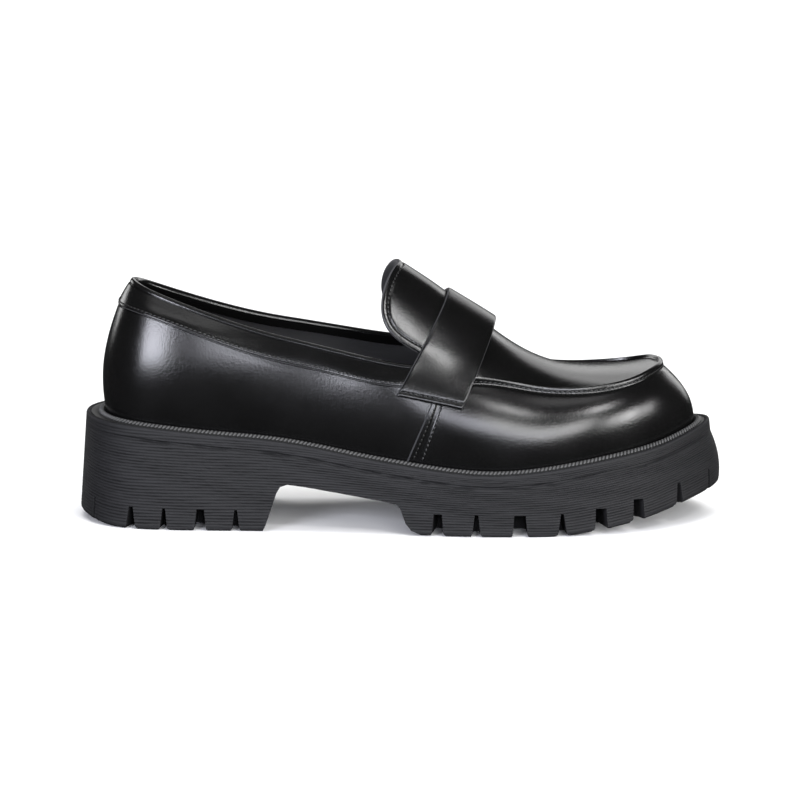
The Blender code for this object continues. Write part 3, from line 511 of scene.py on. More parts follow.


def lay_grid(points, finishes=0, grooves=None):
    """A flat grid of faces laid over points, given as rows of columns. Sides that come to lie on each other
    are joined. finishes gives all faces, each row of faces or each face its material slot; grooves says how
    deep in a groove each point lies."""
    rows, columns = points.shape[:2]
    last_row = rows - 1
    last_column = columns - 1
    mesh_maker = bmesh.new()
    bmesh.ops.create_grid(mesh_maker, x_segments=last_column, y_segments=last_row, size=1)
    if np.ndim(finishes) == 1:
        finishes = np.reshape(finishes, (last_row, 1))
    slots = np.broadcast_to(finishes, (last_row, last_column))
    depth = mesh_maker.verts.layers.float.new(GROOVE_NAME)
    for face in mesh_maker.faces:
        middle = face.calc_center_median()
        row = int((middle.y + 1) / 2 * last_row)
        column = int((middle.x + 1) / 2 * last_column)
        face.material_index = int(slots[row, column])
    for vertex in mesh_maker.verts:
        column = round((vertex.co.x + 1) / 2 * last_column)
        row = round((vertex.co.y + 1) / 2 * last_row)
        vertex.co = points[row, column]
        vertex[depth] = 0 if grooves is None else grooves[row, column]
    bmesh.ops.remove_doubles(mesh_maker, verts=mesh_maker.verts, dist=JOIN_DISTANCE)
    return mesh_maker


def closed_rows(points):
    return np.concatenate([points, points[:1]], axis=0)


def closed_columns(points):
    return np.concatenate([points, points[:, :1]], axis=1)


def shade(mesh, sharp):
    mesh.shade_smooth()
    mesh.set_sharp_from_angle(angle=math.radians(sharp))


def to_mesh(name, mesh_maker):
    """A mesh in the frame, in metres, with its faces pointing out."""
    bmesh.ops.recalc_face_normals(mesh_maker, faces=mesh_maker.faces)
    bmesh.ops.translate(mesh_maker, verts=mesh_maker.verts, vec=SHIFT)
    bmesh.ops.scale(mesh_maker, verts=mesh_maker.verts, vec=(MM, MM, MM))
    mesh = bpy.data.meshes.new(name)
    mesh_maker.to_mesh(mesh)
    mesh_maker.free()
    shade(mesh, SHARP_ANGLE)
    return mesh


def placed(name, data):
    """An object in the scene, at the origin."""
    made = bpy.data.objects.new(name, data)
    bpy.context.scene.collection.objects.link(made)
    return made


def show(mesh, finishes, node=None):
    """A finished piece, named as its mesh, that rides on the shoe and stands for a node if one is named."""
    piece = placed(mesh.name, mesh)
    for finish in finishes:
        mesh.materials.append(finish)
    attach(piece, "root")
    if node:
        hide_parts(node)


def ways_along(path):
    """Length of a path up to each of its points."""
    return np.append(0, np.cumsum(np.linalg.norm(np.diff(path, axis=0), axis=1)))


def between(values, lengths, stops):
    """Rows of values, known at these lengths, at other stops."""
    flat = values.reshape(len(values), -1)
    columns = [np.interp(stops, lengths, column) for column in flat.T]
    return np.stack(columns, axis=1).reshape(len(stops), *values.shape[1:])


def walk(path, facing, pitch):
    """Points, directions and facings at equal steps along a path on a surface."""
    lengths = ways_along(path)
    stops = np.arange(pitch / 2, lengths[-1], pitch)
    along = between(np.gradient(path, axis=0), lengths, stops)
    return between(path, lengths, stops), unit(along), unit(between(facing, lengths, stops))


def sew(mesh_maker, path, facing, pitch, size, slant):
    """A row of stitches along a path: each a short rounded loop of thread of (length, width), turned out of
    the row by a slant in degrees."""
    length, width = size
    angle = math.radians(slant)
    for point, along, normal in zip(*walk(path, facing, pitch)):
        normal = unit(normal - along * np.dot(normal, along))
        across = np.cross(normal, along)
        thread = along * math.cos(angle) + across * math.sin(angle)
        beside = np.cross(normal, thread)
        columns = [beside * width / 2, normal * width * STITCH_FLATNESS / 2, thread * length / 2, point]
        matrix = Matrix([*np.column_stack(columns), (0, 0, 0, 1)])
        bmesh.ops.create_uvsphere(mesh_maker, u_segments=STITCH_SIDES, v_segments=STITCH_RINGS, radius=1,
                                  matrix=matrix)


# The upper's faces


@lru_cache(maxsize=None)
def upper_columns():
    """Places around the shoe, closer beside each vamp lap, and how far past the lap each lies."""
    place = around(UPPER_COLUMNS)
    for side in (-1, 1):
        lap = place_at(LAP_LOW_X, side)
        place = place[np.abs(place - lap) > LAP_REACH]
        place = np.append(place, lap - side * np.array(LAP_COLUMNS))
    place = np.sort(place)
    ahead = np.where(place < TOE_PLACE, place - place_at(LAP_LOW_X, -1), place_at(LAP_LOW_X, 1) - place)
    return place, ahead


def crease_depth(points):
    """Soft troughs in the leather, the same on both sides."""
    roll_at, roll_share = CREASE_ROLL
    depth = np.zeros(points.shape[:2])
    for x, z, half_length, half_width, slope, deep in CREASES:
        angle = math.radians(slope)
        dx = points[..., 0] - x
        dz = points[..., 2] - z
        along = (dx * math.cos(angle) + dz * math.sin(angle)) / half_length
        across = (dz * math.cos(angle) - dx * math.sin(angle)) / half_width
        trough = np.exp(-(across**2)) - roll_share * np.exp(-((across - roll_at) ** 2))
        depth += deep * trough * np.exp(-(along**2))
    return depth


@lru_cache(maxsize=None)
def upper_faces():
    """Outer face, inner face and the outer facing of the upper, as rows from the feather line to the opening,
    with the way of each row across the seam."""
    place, ahead = upper_columns()
    foot = foot_ring(leaning(place, 0))
    rows = []
    ways = []
    seam_places = leaning(place, 1)
    wall_length = np.linalg.norm(seam_ring(seam_places) - foot, axis=1)
    top_length = np.linalg.norm(edge_ring(seam_places) - seam_ring(seam_places), axis=1)
    for share in np.linspace(0, WALL_TOP, WALL_ROWS):
        rows.append(wall_ring(leaning(place, share), share))
        ways.append((share - 1) * wall_length)
    for way, _ in RIDGE_PROFILE:
        if way < 0:
            share = 1 + way / wall_length
            rows.append(wall_ring(leaning(place, share), share))
        else:
            rows.append(top_ring(seam_places, way / top_length))
        ways.append(np.full(len(place), way))
    first = RIDGE_PROFILE[-1][0] / top_length
    for share in np.linspace(0, 1, TOP_ROWS + 1)[1:]:
        rows.append(top_ring(seam_places, first + (1 - first) * share))
        ways.append((first + (1 - first) * share) * top_length)
    base = np.array(rows)
    ways = np.array(ways)
    facing = facing_of(base, True)

    vamp = smooth(POST["vamp"](seam_places))
    profile = np.array(RIDGE_PROFILE)
    relief = np.interp(ways, profile[:, 0], profile[:, 1]) * vamp
    relief -= BAND_RECESS * (1 - vamp) * (ways > BAND_RECESS_FROM)
    fade = smooth((ways + wall_length) / FOOT_FADE) * smooth((SEAM_FADE[0] - ways) / SEAM_FADE[1])
    lap = LAP_HEIGHT * np.clip(1 + ahead / LAP_BEVEL, 0, 1) * np.exp(-np.maximum(ahead, 0) / LAP_FADE)
    first_row, second_row = LAP_STITCH_ROWS
    channel = smooth((ahead - first_row) / LAP_CHANNEL_EDGE) * smooth((second_row - ahead) / LAP_CHANNEL_EDGE)
    relief += (lap - LAP_CHANNEL * channel - crease_depth(base)) * fade
    outer = base + facing * relief[..., None]

    kept = np.unique(np.linspace(0, len(base) - 1, INNER_ROWS).round().astype(int))
    inner = (base - facing * WALL)[kept]
    inner[0, :, 2] = base[0, :, 2]
    return outer, inner, facing_of(outer, True), ways


def row_of(way):
    """Number of the outer row nearest to a way across the seam."""
    ways = upper_faces()[3]
    return int(np.argmin(np.abs(np.median(ways, axis=1) - way)))


# The collar band


def strap_line_x(z):
    """Back edge of the strap, seen from the side."""
    run = (STRAP_BACK_TOP[0] - STRAP_BACK_END[0]) / (STRAP_BACK_TOP[1] - STRAP_BACK_END[1])
    return STRAP_BACK_END[0] + (z - STRAP_BACK_END[1]) * run


def band_end(share, side):
    """Place where a row of the collar band ends under the strap."""
    start = 0 if side < 0 else GIRTH
    trial = np.linspace(start, place_at(BAND_SEARCH_X, side), BAND_SEARCH_PLACES)
    points = top_ring(trial, share)
    ahead = points[:, 0] - strap_line_x(points[:, 2])
    return float(trial[np.argmax(ahead > BAND_TUCK)])


@lru_cache(maxsize=None)
def band_faces():
    """Rows of the collar band on the upper's own face: outside from its lower edge to the opening, and inside
    from there down, each with its facing."""

    def rows(shares):
        made = []
        for share in shares:
            places = np.linspace(band_end(share, 1) - GIRTH, band_end(share, -1), BAND_COLUMNS)
            made.append(top_ring(places, share))
        return np.array(made)

    outside = rows(BAND_OUTER_SHARES)
    inside = rows(BAND_INNER_SHARES)
    return outside, facing_of(outside, False), inside, facing_of(inside[::-1], False)[::-1]


# The tongue


def on_saddle(ridge_x, y):
    """Point on the instep in the plane that stands square to its ridge at ridge_x."""
    x = np.array(ridge_x, float)
    fall = math.tan(math.radians(TONGUE_SLOPE))
    rounds = 6
    for _ in range(rounds):
        x = ridge_x - (crest_height(ridge_x) - apron(x, y)) * fall
    return x


def throat_line(y):
    """Line just behind the edge of the upper's throat, at these distances from the shoe's axis."""
    ends = [POST_PLACES[list(POSTS).index(name)] for name in ("throat_lateral", "throat_medial")]
    trial = np.linspace(*ends, THROAT_PLACES)
    place = np.interp(y, top_ring(trial, 1.0)[:, 1], trial)
    edge = top_ring(place, 1.0)
    back = edge - top_ring(place, THROAT_BACK_SHARE)
    return edge + back * (THROAT_GAP / np.linalg.norm(back, axis=1))[:, None]


@lru_cache(maxsize=None)
def tongue_face():
    """Outer face of the tongue, from the throat to its rounded free edge."""
    angle = np.radians(np.linspace(-TONGUE_SWEEP, TONGUE_SWEEP, TONGUE_COLUMNS + 1))
    power = 2 / TONGUE_SQUARENESS
    across = np.sign(np.sin(angle)) * np.abs(np.sin(angle)) ** power
    rise = np.abs(np.cos(angle)) ** power
    low = throat_line(across * THROAT_HALF_WIDTH)
    high_y = across * TONGUE_HALF_WIDTH
    high_x = on_saddle(TONGUE_BASE_X + (TONGUE_TOP_X - TONGUE_BASE_X) * rise, high_y)
    high_x -= TONGUE_EARS * np.abs(across) * rise
    step = low[:, 2] - apron(low[:, 0], low[:, 1])
    rows = []
    for share in 1 - np.linspace(1, 0, TONGUE_ROWS) ** TONGUE_CROWDING:
        x = low[:, 0] + (high_x - low[:, 0]) * share
        y = low[:, 1] + (high_y - low[:, 1]) * share
        rows.append(np.column_stack([x, y, apron(x, y) + step * (1 - share) ** 2]))
    return np.array(rows)


def apron_facing(x, y):
    """Upward unit normals of the instep."""
    step = 0.2
    slope_x = (apron(x + step, y) - apron(x - step, y)) / (2 * step)
    slope_y = (apron(x, y + step) - apron(x, y - step)) / (2 * step)
    return unit(np.stack([-slope_x, -slope_y, np.ones_like(slope_x)], axis=-1))


def edge_distance(grid):
    """Distance of each point of a grid from its last row."""
    away = grid[:, :, None, :] - grid[-1][None, None]
    return np.linalg.norm(away, axis=-1).min(axis=2)


# The saddle strap


def turn(a, b):
    """Cross product of two vectors in a plane."""
    return a[0] * b[1] - a[1] * b[0]


def taut(line):
    """The points of a line, in order over the instep, that a band pulled tight over it would touch."""
    held = []
    for point in line:
        while len(held) > 1 and turn(held[-1] - held[-2], point - held[-1]) >= 0:
            held.pop()
        held.append(point)
    return np.array(held)


def taut_reach(held, direction):
    """Distance from the centre to the tight band in a direction (across, up)."""
    sides = [turn(point, direction) for point in held]
    beyond = 0 if sides[0] > 0 else len(held) - 2
    i = next((k for k in range(len(held) - 1) if sides[k] <= 0 <= sides[k + 1]), beyond)
    share = sides[i] / (sides[i] - sides[i + 1])
    return float(np.dot(held[i] + (held[i + 1] - held[i]) * share, direction))


def surface_tree(name):
    """Search tree over the faces of a solid of the frame."""
    mesh_maker = bmesh.new()
    mesh_maker.from_mesh(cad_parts[name].data)
    tree = BVHTree.FromBMesh(mesh_maker)
    mesh_maker.free()
    return tree


def first_hit(trees, start, direction):
    """Distance from a start, in last coordinates, to the nearest piece in a direction."""
    origin = Vector((start + SHIFT) * MM)
    hits = [tree.ray_cast(origin, Vector(direction))[3] for tree in trees]
    return min((hit / MM for hit in hits if hit is not None), default=None)


def blurred(values, spread):
    """Values softened along their first axis, with a spread counted in steps."""
    reach = math.ceil(3 * spread)
    weights = np.exp(-0.5 * (np.arange(-reach, reach + 1) / spread) ** 2)
    weights /= weights.sum()
    before = np.repeat(values[:1], reach, axis=0)
    after = np.repeat(values[-1:], reach, axis=0)
    held = np.concatenate([before, values, after])
    return sum(weight * held[k : k + len(values)] for k, weight in enumerate(weights))


def stiff(reach):
    """The smooth sheet that lies over the tight lines: bent only gently across, and never under them."""
    basis = np.vander(np.linspace(-1, 1, reach.shape[1]), 3)
    bends = np.linalg.lstsq(basis, reach.T, rcond=None)[0]
    plain = blurred((basis @ bends).T, STRAP_SOFTNESS)
    short = np.max(reach - plain, axis=1)
    window = 2 * STRAP_SOFTNESS
    held = np.pad(short, window, mode="edge")
    lift = np.array([held[k : k + 2 * window + 1].max() for k in range(len(short))])
    return plain + blurred(lift, STRAP_SOFTNESS)[:, None]


@lru_cache(maxsize=None)
def strap_faces():
    """Under face of the strap, pulled tight over the upper, collar band and tongue, and its facing."""
    trees = [surface_tree(name) for name in ("upper", "collar_band", "tongue")]
    angles = np.radians(np.linspace(-90, 90, STRAP_STEPS + 1))
    compass = np.column_stack([np.sin(angles), np.cos(angles)])
    shares = np.linspace(0, 1, STRAP_ACROSS)
    centres = np.zeros((STRAP_ACROSS, 3))
    facing = np.zeros((STRAP_STEPS + 1, STRAP_ACROSS, 3))
    reach = np.zeros((STRAP_STEPS + 1, STRAP_ACROSS))
    for j, share in enumerate(shares):
        top = np.array(STRAP_BACK_TOP) * (1 - share) + np.array(STRAP_FRONT_TOP) * share
        end = np.array(STRAP_BACK_END) * (1 - share) + np.array(STRAP_FRONT_END) * share
        centres[j] = (end[0], 0, end[1])
        rise = unit(np.array([top[0] - end[0], 0, top[1] - end[1]]))
        facing[:, j] = np.outer(compass[:, 0], (0, 1.0, 0)) + np.outer(compass[:, 1], rise)
        line = []
        for angle in np.radians(np.linspace(-90, 90, STRAP_RAYS)):
            flat = np.array([math.sin(angle), math.cos(angle)])
            direction = np.array([0, flat[0], 0]) + rise * flat[1]
            hit = first_hit(trees, centres[j] + direction * RAY_START, -direction)
            if hit is not None and hit < RAY_START:
                line.append(flat * (RAY_START - hit))
        held = taut(line)
        reach[:, j] = [taut_reach(held, flat) for flat in compass]
    reach = stiff(reach) + STRAP_CLEARANCE + STRAP_LIFT * shares * np.cos(angles)[:, None] ** 2
    return centres + facing * reach[..., None], facing


def strap_stations():
    """Under face of the strap and the way it faces, with closer sections beside its ends, and how far each
    section lies from the nearer end."""
    under, facing = strap_faces()
    lengths = ways_along(under[:, STRAP_ACROSS // 2])
    whole = lengths[-1]
    ends = np.array(STRAP_END_WAYS)
    clear = ends[-1] + STRAP_END_CLEAR
    inner = lengths[(lengths > clear) & (lengths < whole - clear)]
    stops = np.concatenate([ends, inner, whole - ends[::-1]])
    faces = unit(between(facing, lengths, stops))
    return between(under, lengths, stops), faces, np.minimum(stops, whole - stops)


def strap_section(low, normal, thickness):
    """One section of the strap: its under face, its rounded shoulders and its upper face."""
    back = unit(low[-1] - low[0])
    corner = min(STRAP_ROUNDING, thickness / 2)
    front_shoulder = []
    back_shoulder = []
    for angle in np.radians(np.linspace(0, 90, STRAP_CORNER_STEPS)):
        inset = corner * (1 - math.cos(angle))
        rise = thickness - corner * (1 - math.sin(angle))
        front_shoulder.append(low[-1] + normal[-1] * rise - back * inset)
        back_shoulder.append(low[0] + normal[0] * rise + back * inset)
    over = low[1:-1] + normal[1:-1] * thickness
    return np.concatenate([low, front_shoulder, over[::-1], back_shoulder[::-1]])


# The sole


def sole_side(place, rib_pitch):
    """Rows of the sole's ribbed side, from the floor to the seat, and how deep in a groove each point is."""
    margin = rim_margin(place)
    flare = side_flare(place)
    rows = []
    for angle in np.radians(np.linspace(0, 90, SOLE_EDGE_ROWS)):
        plan = plan_ring(place, margin + flare - SOLE_EDGE * (1 - math.sin(angle)))
        rows.append(with_height(plan, tread_height(plan[:, 0]) + SOLE_EDGE * (1 - math.cos(angle))))
    facing = outward(place)
    groove_share = 1 - smooth((np.abs(facing[:, 0]) - GROOVE_ENDS[0]) / GROOVE_ENDS[1])
    upper_rows = []
    for depth, inset in SOLE_SIDE_TOP:
        cut = inset * groove_share if depth >= SOLE_GROOVE[0][0] else inset
        plan = plan_ring(place, margin - cut + flare * depth / FLARE_HEIGHT)
        upper_rows.append(with_height(plan, seat_height(plan[:, 0]) - depth))
    low = rows[-1]
    high = upper_rows[-1]
    swell = TOE_BULGE * np.maximum(facing[:, 0], 0)[:, None] ** 2 * facing
    for share in np.linspace(0, 1, SOLE_SIDE_ROWS)[1:-1]:
        row = low + (high - low) * share
        row[:, :2] += swell * math.sin(math.pi * share) ** TOE_BULGE_POWER
        rows.append(row)
    side = np.array(rows + upper_rows[::-1])
    groove = rib_groove(side, rib_pitch)
    side[..., :2] -= RIB_DEPTH * groove[..., None] * facing
    return side, groove


def rib_groove(points, pitch):
    """Share of the depth of the fine grooves between the ribs: level at the floor, along the rim at the top,
    each a little uneven."""
    x = points[..., 0]
    z = points[..., 2]
    seat = seat_height(x)
    tread = tread_height(x)
    share = np.clip((z - tread) / (seat - tread), 0, 1)
    follow = RIB_TILT * share**2
    level = z - (1 - follow) * tread + follow * (RIB_DATUM - seat)
    wander, swing_x, swing_z = RIB_WANDER
    count = level / pitch + wander * np.sin(x / swing_x + z / swing_z)
    wave = 1.0
    for turns, shift in RIB_WAVES:
        wave = wave * np.sin(x * turns + shift * np.round(count))
    uneven = 1 - RIB_UNEVEN + RIB_UNEVEN * wave
    fade = np.interp(seat - z, *zip(*RIB_FADE)) * smooth((z - tread - RIB_START[0]) / RIB_START[1])
    return uneven * fade * (0.5 + 0.5 * np.cos(2 * math.pi * count)) ** 2


def bridge(start, end, count, height):
    """Rows of points between two lines, without them, at a height for each x."""
    rows = []
    for share in np.linspace(0, 1, count + 1)[1:-1]:
        points = start + (end - start) * share
        points[:, 2] = height(points[:, 0])
        rows.append(points)
    return np.array(rows)


def side_places(count):
    """Stations from the heel to the toe, on the little-toe side and on the big-toe side."""
    return np.linspace(0, TOE_PLACE, count), np.linspace(GIRTH, TOE_PLACE, count)


def extruded(mesh_maker, corners, vector):
    """A closed body: one face through the corners, pulled along a vector."""
    face = mesh_maker.faces.new([mesh_maker.verts.new(corner) for corner in corners])
    pulled = bmesh.ops.extrude_face_region(mesh_maker, geom=[face], use_keep_orig=True)
    moved = [item for item in pulled["geom"] if isinstance(item, bmesh.types.BMVert)]
    bmesh.ops.translate(mesh_maker, verts=moved, vec=vector)


def arch_cutter(mesh_maker):
    """Room under the shank."""
    outline = [(x, -ARCH_REACH, z) for x, z in ARCH_OUTLINE]
    extruded(mesh_maker, outline, (0, 2 * ARCH_REACH, 0))


def notch_cutter(mesh_maker):
    """Room between the lugs, with rounded corners at the floor."""
    for x, low_width, top_width, height, reach in NOTCHES:
        corner = min(LUG_CORNER, low_width)
        rises = [corner * (1 - math.cos(math.radians(degrees))) for degrees in LUG_CORNER_ANGLES]
        half = []
        for rise in (-NOTCH_OVERRUN, *rises, height):
            width = low_width + (top_width - low_width) * max(rise, 0) / height
            round_off = corner - math.sqrt(corner**2 - max(corner - max(rise, 0), 0) ** 2)
            half.append((width / 2 + round_off, rise))
        section = half + [(-width, rise) for width, rise in half[::-1]]
        for side in (-1, 1):
            place = np.array([place_at(x, side, floor_reach)])
            edge = plan_ring(place, floor_reach(place))[0]
            out = outward(place)[0]
            along = np.array([-out[1], out[0]])
            far = edge + out * NOTCH_OVERRUN
            floor = float(tread_height(x))
            corners = [(*(far + along * width), floor + rise) for width, rise in section]
            extruded(mesh_maker, corners, (*(-out * (reach + NOTCH_OVERRUN)), 0))


def pocket_cutter(mesh_maker):
    """Hollows in the middle of the tread."""
    for start, end in POCKETS:
        corners = []
        for x, side in ((start, -1), (end, -1), (end, 1), (start, 1)):
            place = np.array([place_at(x, side)])
            edge = plan_ring(place, floor_reach(place))[0]
            corners.append((x, edge[1] - side * LUG_LENGTH, float(tread_height(x)) - NOTCH_OVERRUN))
        extruded(mesh_maker, corners, (0, 0, NOTCH_OVERRUN + POCKET_DEPTH))


def cut_out(name, mesh, cutters):
    """A mesh with the rooms of several cutters taken out of it."""
    body = placed(name + "_body", mesh)
    tools = []
    for cutter in cutters:
        mesh_maker = bmesh.new()
        cutter(mesh_maker)
        tool = placed(cutter.__name__, to_mesh(cutter.__name__, mesh_maker))
        modifier = body.modifiers.new(tool.name, "BOOLEAN")
        modifier.operation = "DIFFERENCE"
        modifier.solver = "EXACT"
        modifier.object = tool
        tools.append(tool)
    depsgraph = bpy.context.evaluated_depsgraph_get()
    made = bpy.data.meshes.new_from_object(body.evaluated_get(depsgraph))
    made.name = name
    for used in (body, *tools):
        bpy.data.objects.remove(used)
    return made


# Materials


def feed(tree, node, inputs):
    """Gives each input of a node a value or another node's output."""
    for socket, value in inputs.items():
        if isinstance(value, bpy.types.NodeSocket):
            tree.links.new(value, node.inputs[socket])
        else:
            node.inputs[socket].default_value = value


def add(tree, kind, inputs=None, **settings):
    """A shader node with its settings and its inputs."""
    made = tree.nodes.new("ShaderNode" + kind)
    for name, value in settings.items():
        setattr(made, name, value)
    feed(tree, made, inputs or {})
    return made


def per_metre(size_mm):
    """Scale of a pattern whose features are this many millimetres apart."""
    return 1 / (size_mm * MM)


def mottled(tree, pattern, colour, stops):
    """A colour that goes with a pattern between two stops, each a place and a share of the colour."""
    tone = add(tree, "ValToRGB", {"Fac": pattern.outputs["Fac"]})
    for element, (place, share) in zip(tone.color_ramp.elements, stops):
        element.position = place
        element.color = [part * share for part in colour[:3]] + [1]
    return tone.outputs["Color"]


def material(build):
    """The material that a builder makes, named after it and made at its first use. The builder gets the
    settings, the node tree, the shader and the piece's own coordinates."""

    def found(looks):
        made = bpy.data.materials.get(build.__name__)
        if made is None:
            made = bpy.data.materials.new(build.__name__)
            made.use_nodes = True
            tree = made.node_tree
            where = add(tree, "TexCoord").outputs["Object"]
            build(looks, tree, tree.nodes["Principled BSDF"], where)
        return made

    return found


@material
def polished_calf_leather(looks, tree, shader, where):
    """Smooth calf, plated and polished: near black, a fine pebble that roughens the rim of each highlight,
    and a soft clear dressing on top."""
    grain = looks.grain / MM
    pore = grain * 0.45
    pebble = add(tree, "TexVoronoi", feature="SMOOTH_F1")
    feed(tree, pebble, {"Vector": where, "Scale": per_metre(grain), "Smoothness": 0.6})
    pores = add(tree, "TexNoise", {"Vector": where, "Scale": per_metre(pore), "Detail": 3.0})
    hide = add(tree, "TexNoise", {"Vector": where, "Scale": per_metre(26), "Detail": 3.0})
    heights = {0: pebble.outputs["Distance"], 1: -1.0, 2: pores.outputs["Fac"]}
    height = add(tree, "Math", heights, operation="MULTIPLY_ADD")
    bump = add(tree, "Bump", {"Height": height.outputs[0], "Strength": 0.45, "Distance": 0.00008})
    gloss = add(tree, "MapRange", {"Value": hide.outputs["Fac"], "From Min": 0.3, "From Max": 0.7,
                                   "To Min": 0.18, "To Max": 0.22})
    feed(tree, shader, {
        "Base Color": mottled(tree, hide, looks.leather, ((0.3, 0.8), (0.75, 1.25))),
        "Roughness": gloss.outputs["Result"],
        "Normal": bump.outputs["Normal"],
        "IOR": 1.45,
        "Coat Weight": 0.12,
        "Coat Roughness": 0.15,
        "Coat IOR": 1.4,
    })


@material
def dyed_edge_and_painted_highlight(looks, tree, shader, where):
    """Cut edges of the leather, dyed and rubbed: greyer than the face and dull. The grey is partly the real
    dyed edge and partly a painted highlight, the light line that a rounded edge would catch from the floor.
    """
    fibre = add(tree, "TexNoise", {"Vector": where, "Scale": per_metre(0.6), "Detail": 3.0})
    tone = mottled(tree, fibre, looks.edge, ((0, 0.6), (1, 1.4)))
    feed(tree, shader, {"Base Color": tone, "Roughness": 0.6})


@material
def lining_split_leather(looks, tree, shader, where):
    """Split lining leather: matt, soft, with a short nap and no shine."""
    nap = add(tree, "TexNoise", {"Vector": where, "Scale": per_metre(0.9), "Detail": 4.0})
    patch = add(tree, "TexNoise", {"Vector": where, "Scale": per_metre(14), "Detail": 2.0})
    tone = mottled(tree, patch, looks.lining, ((0, 0.8), (1, 1.25)))
    bump = add(tree, "Bump", {"Height": nap.outputs["Fac"], "Strength": 0.4, "Distance": 0.0001})
    feed(tree, shader, {"Base Color": tone, "Normal": bump.outputs["Normal"], "Roughness": 0.72,
                        "Sheen Weight": 0.08})


@material
def moulded_sole_rubber(looks, tree, shader, where):
    """Foamed rubber out of a mould: dark grey and dull, with a fine tooth, darker streaks along its ribs and
    a dusty bloom, and painted shade on the floor of each groove between the ribs."""
    stretch = add(tree, "Mapping", {"Vector": where, "Scale": (0.1, 0.3, 1.0)}).outputs[0]
    streak = add(tree, "TexNoise", {"Vector": stretch, "Scale": per_metre(0.8), "Detail": 3.0})
    bloom = add(tree, "TexNoise", {"Vector": where, "Scale": per_metre(18), "Detail": 3.0})
    grit = add(tree, "TexNoise", {"Vector": where, "Scale": per_metre(0.5), "Detail": 3.0})
    both = add(tree, "Math", {0: streak.outputs["Fac"], 1: bloom.outputs["Fac"]}, operation="ADD")
    shade_of = add(tree, "MapRange", {"Value": both.outputs[0], "From Min": 0.7, "From Max": 1.3,
                                      "To Min": 0.85, "To Max": 1.15})
    # Painted shade: the colour is darkened towards the floor of each groove between the ribs, as the shade
    # there
    groove = add(tree, "Attribute", attribute_name=GROOVE_NAME)
    groove_shade = add(tree, "MapRange", {"Value": groove.outputs["Fac"], "To Min": 1.0, "To Max": 0.35})
    shaded = add(tree, "Math", {0: shade_of.outputs[0], 1: groove_shade.outputs[0]}, operation="MULTIPLY")
    tone = add(tree, "VectorMath", {0: looks.sole[:3], "Scale": shaded.outputs[0]}, operation="SCALE")
    heights = {0: streak.outputs["Fac"], 1: 0.8, 2: grit.outputs["Fac"]}
    height = add(tree, "Math", heights, operation="MULTIPLY_ADD")
    bump = add(tree, "Bump", {"Height": height.outputs[0], "Strength": 0.9, "Distance": 0.00016})
    feed(tree, shader, {"Base Color": tone.outputs[0], "Normal": bump.outputs["Normal"], "Roughness": 0.68,
                        "Specular IOR Level": 0.3})


@material
def extruded_welt_rubber(looks, tree, shader, where):
    """Extruded welt: the sole's rubber with a smoother, waxy skin that picks up light along its beads."""
    grit = add(tree, "TexNoise", {"Vector": where, "Scale": per_metre(0.8), "Detail": 3.0})
    tone = mottled(tree, grit, looks.welt, ((0, 0.6), (1, 1.4)))
    bump = add(tree, "Bump", {"Height": grit.outputs["Fac"], "Strength": 0.5, "Distance": 0.00012})
    feed(tree, shader, {"Base Color": tone, "Normal": bump.outputs["Normal"], "Roughness": 0.5})


@material
def waxed_polyester_thread(looks, tree, shader, where):
    """Waxed polyester thread: a twisted black yarn with a dull sheen, a little lighter than the leather."""
    twist = add(tree, "TexNoise", {"Vector": where, "Scale": per_metre(0.35), "Detail": 2.0})
    tone = mottled(tree, twist, looks.thread, ((0, 0.6), (1, 1.5)))
    feed(tree, shader, {"Base Color": tone, "Roughness": 0.42})


@material
def heavy_welt_thread(looks, tree, shader, where):
    """Heavy welt thread: thicker, dusty from the trimming of the edge, so greyer than the other seams."""
    twist = add(tree, "TexNoise", {"Vector": where, "Scale": per_metre(0.5), "Detail": 2.0})
    tone = mottled(tree, twist, looks.welt_thread, ((0, 0.5), (1, 1.5)))
    feed(tree, shader, {"Base Color": tone, "Roughness": 0.55})


@material
def white_background_paper(looks, tree, shader, _):
    """Matt white background paper."""
    feed(tree, shader, {"Base Color": looks.paper, "Roughness": 0.9, "Specular IOR Level": 0.0})


# Settings


def size_setting(name, description, default):
    return FloatProperty(name=name, description=description, default=default, min=0.0, unit="LENGTH")


def colour_setting(name, description, code):
    return FloatVectorProperty(name=name, description=description, default=linear(code), size=4, min=0.0,
                               max=1.0, subtype="COLOR")


class LoaferSewing(PropertyGroup):
    """Sizes of the seams."""

    seam_pitch: size_setting("Seam pitch", "Length of a stitch in the leather", 0.0021)
    seam_thread: size_setting("Seam thread", "Width of the thread in the leather", 0.00085)
    welt_pitch: size_setting("Welt pitch", "Distance between the stitches of the welt", 0.0017)
    welt_thread: size_setting("Welt thread", "Width of the thread in the welt", 0.00105)


class LoaferLooks(PropertyGroup):
    """Colours and grain of the shoe and the stage."""

    leather: colour_setting("Leather", "Colour of the upper, tongue, strap and collar band", "#080808")
    # The edge colour is lighter than the leather, partly as a painted highlight along the cut edges
    edge: colour_setting("Edge", "Colour of the leather's cut edges", "#353537")
    lining: colour_setting("Lining", "Colour of the lining and the insole", "#252526")
    sole: colour_setting("Sole", "Colour of the moulded sole", "#161618")
    welt: colour_setting("Welt", "Colour of the welt", "#151515")
    thread: colour_setting("Thread", "Colour of the seams in the leather", "#0b0b0b")
    welt_thread: colour_setting("Welt thread", "Colour of the seam in the welt", "#424242")
    paper: colour_setting("Paper", "Colour of the floor", "#f2f2f2")
    grain: size_setting("Grain", "Width of a pebble of the leather's grain", 0.0008)
    rib_pitch: size_setting("Rib pitch", "Distance between the ribs of the sole's side", 0.00135)


# Pieces


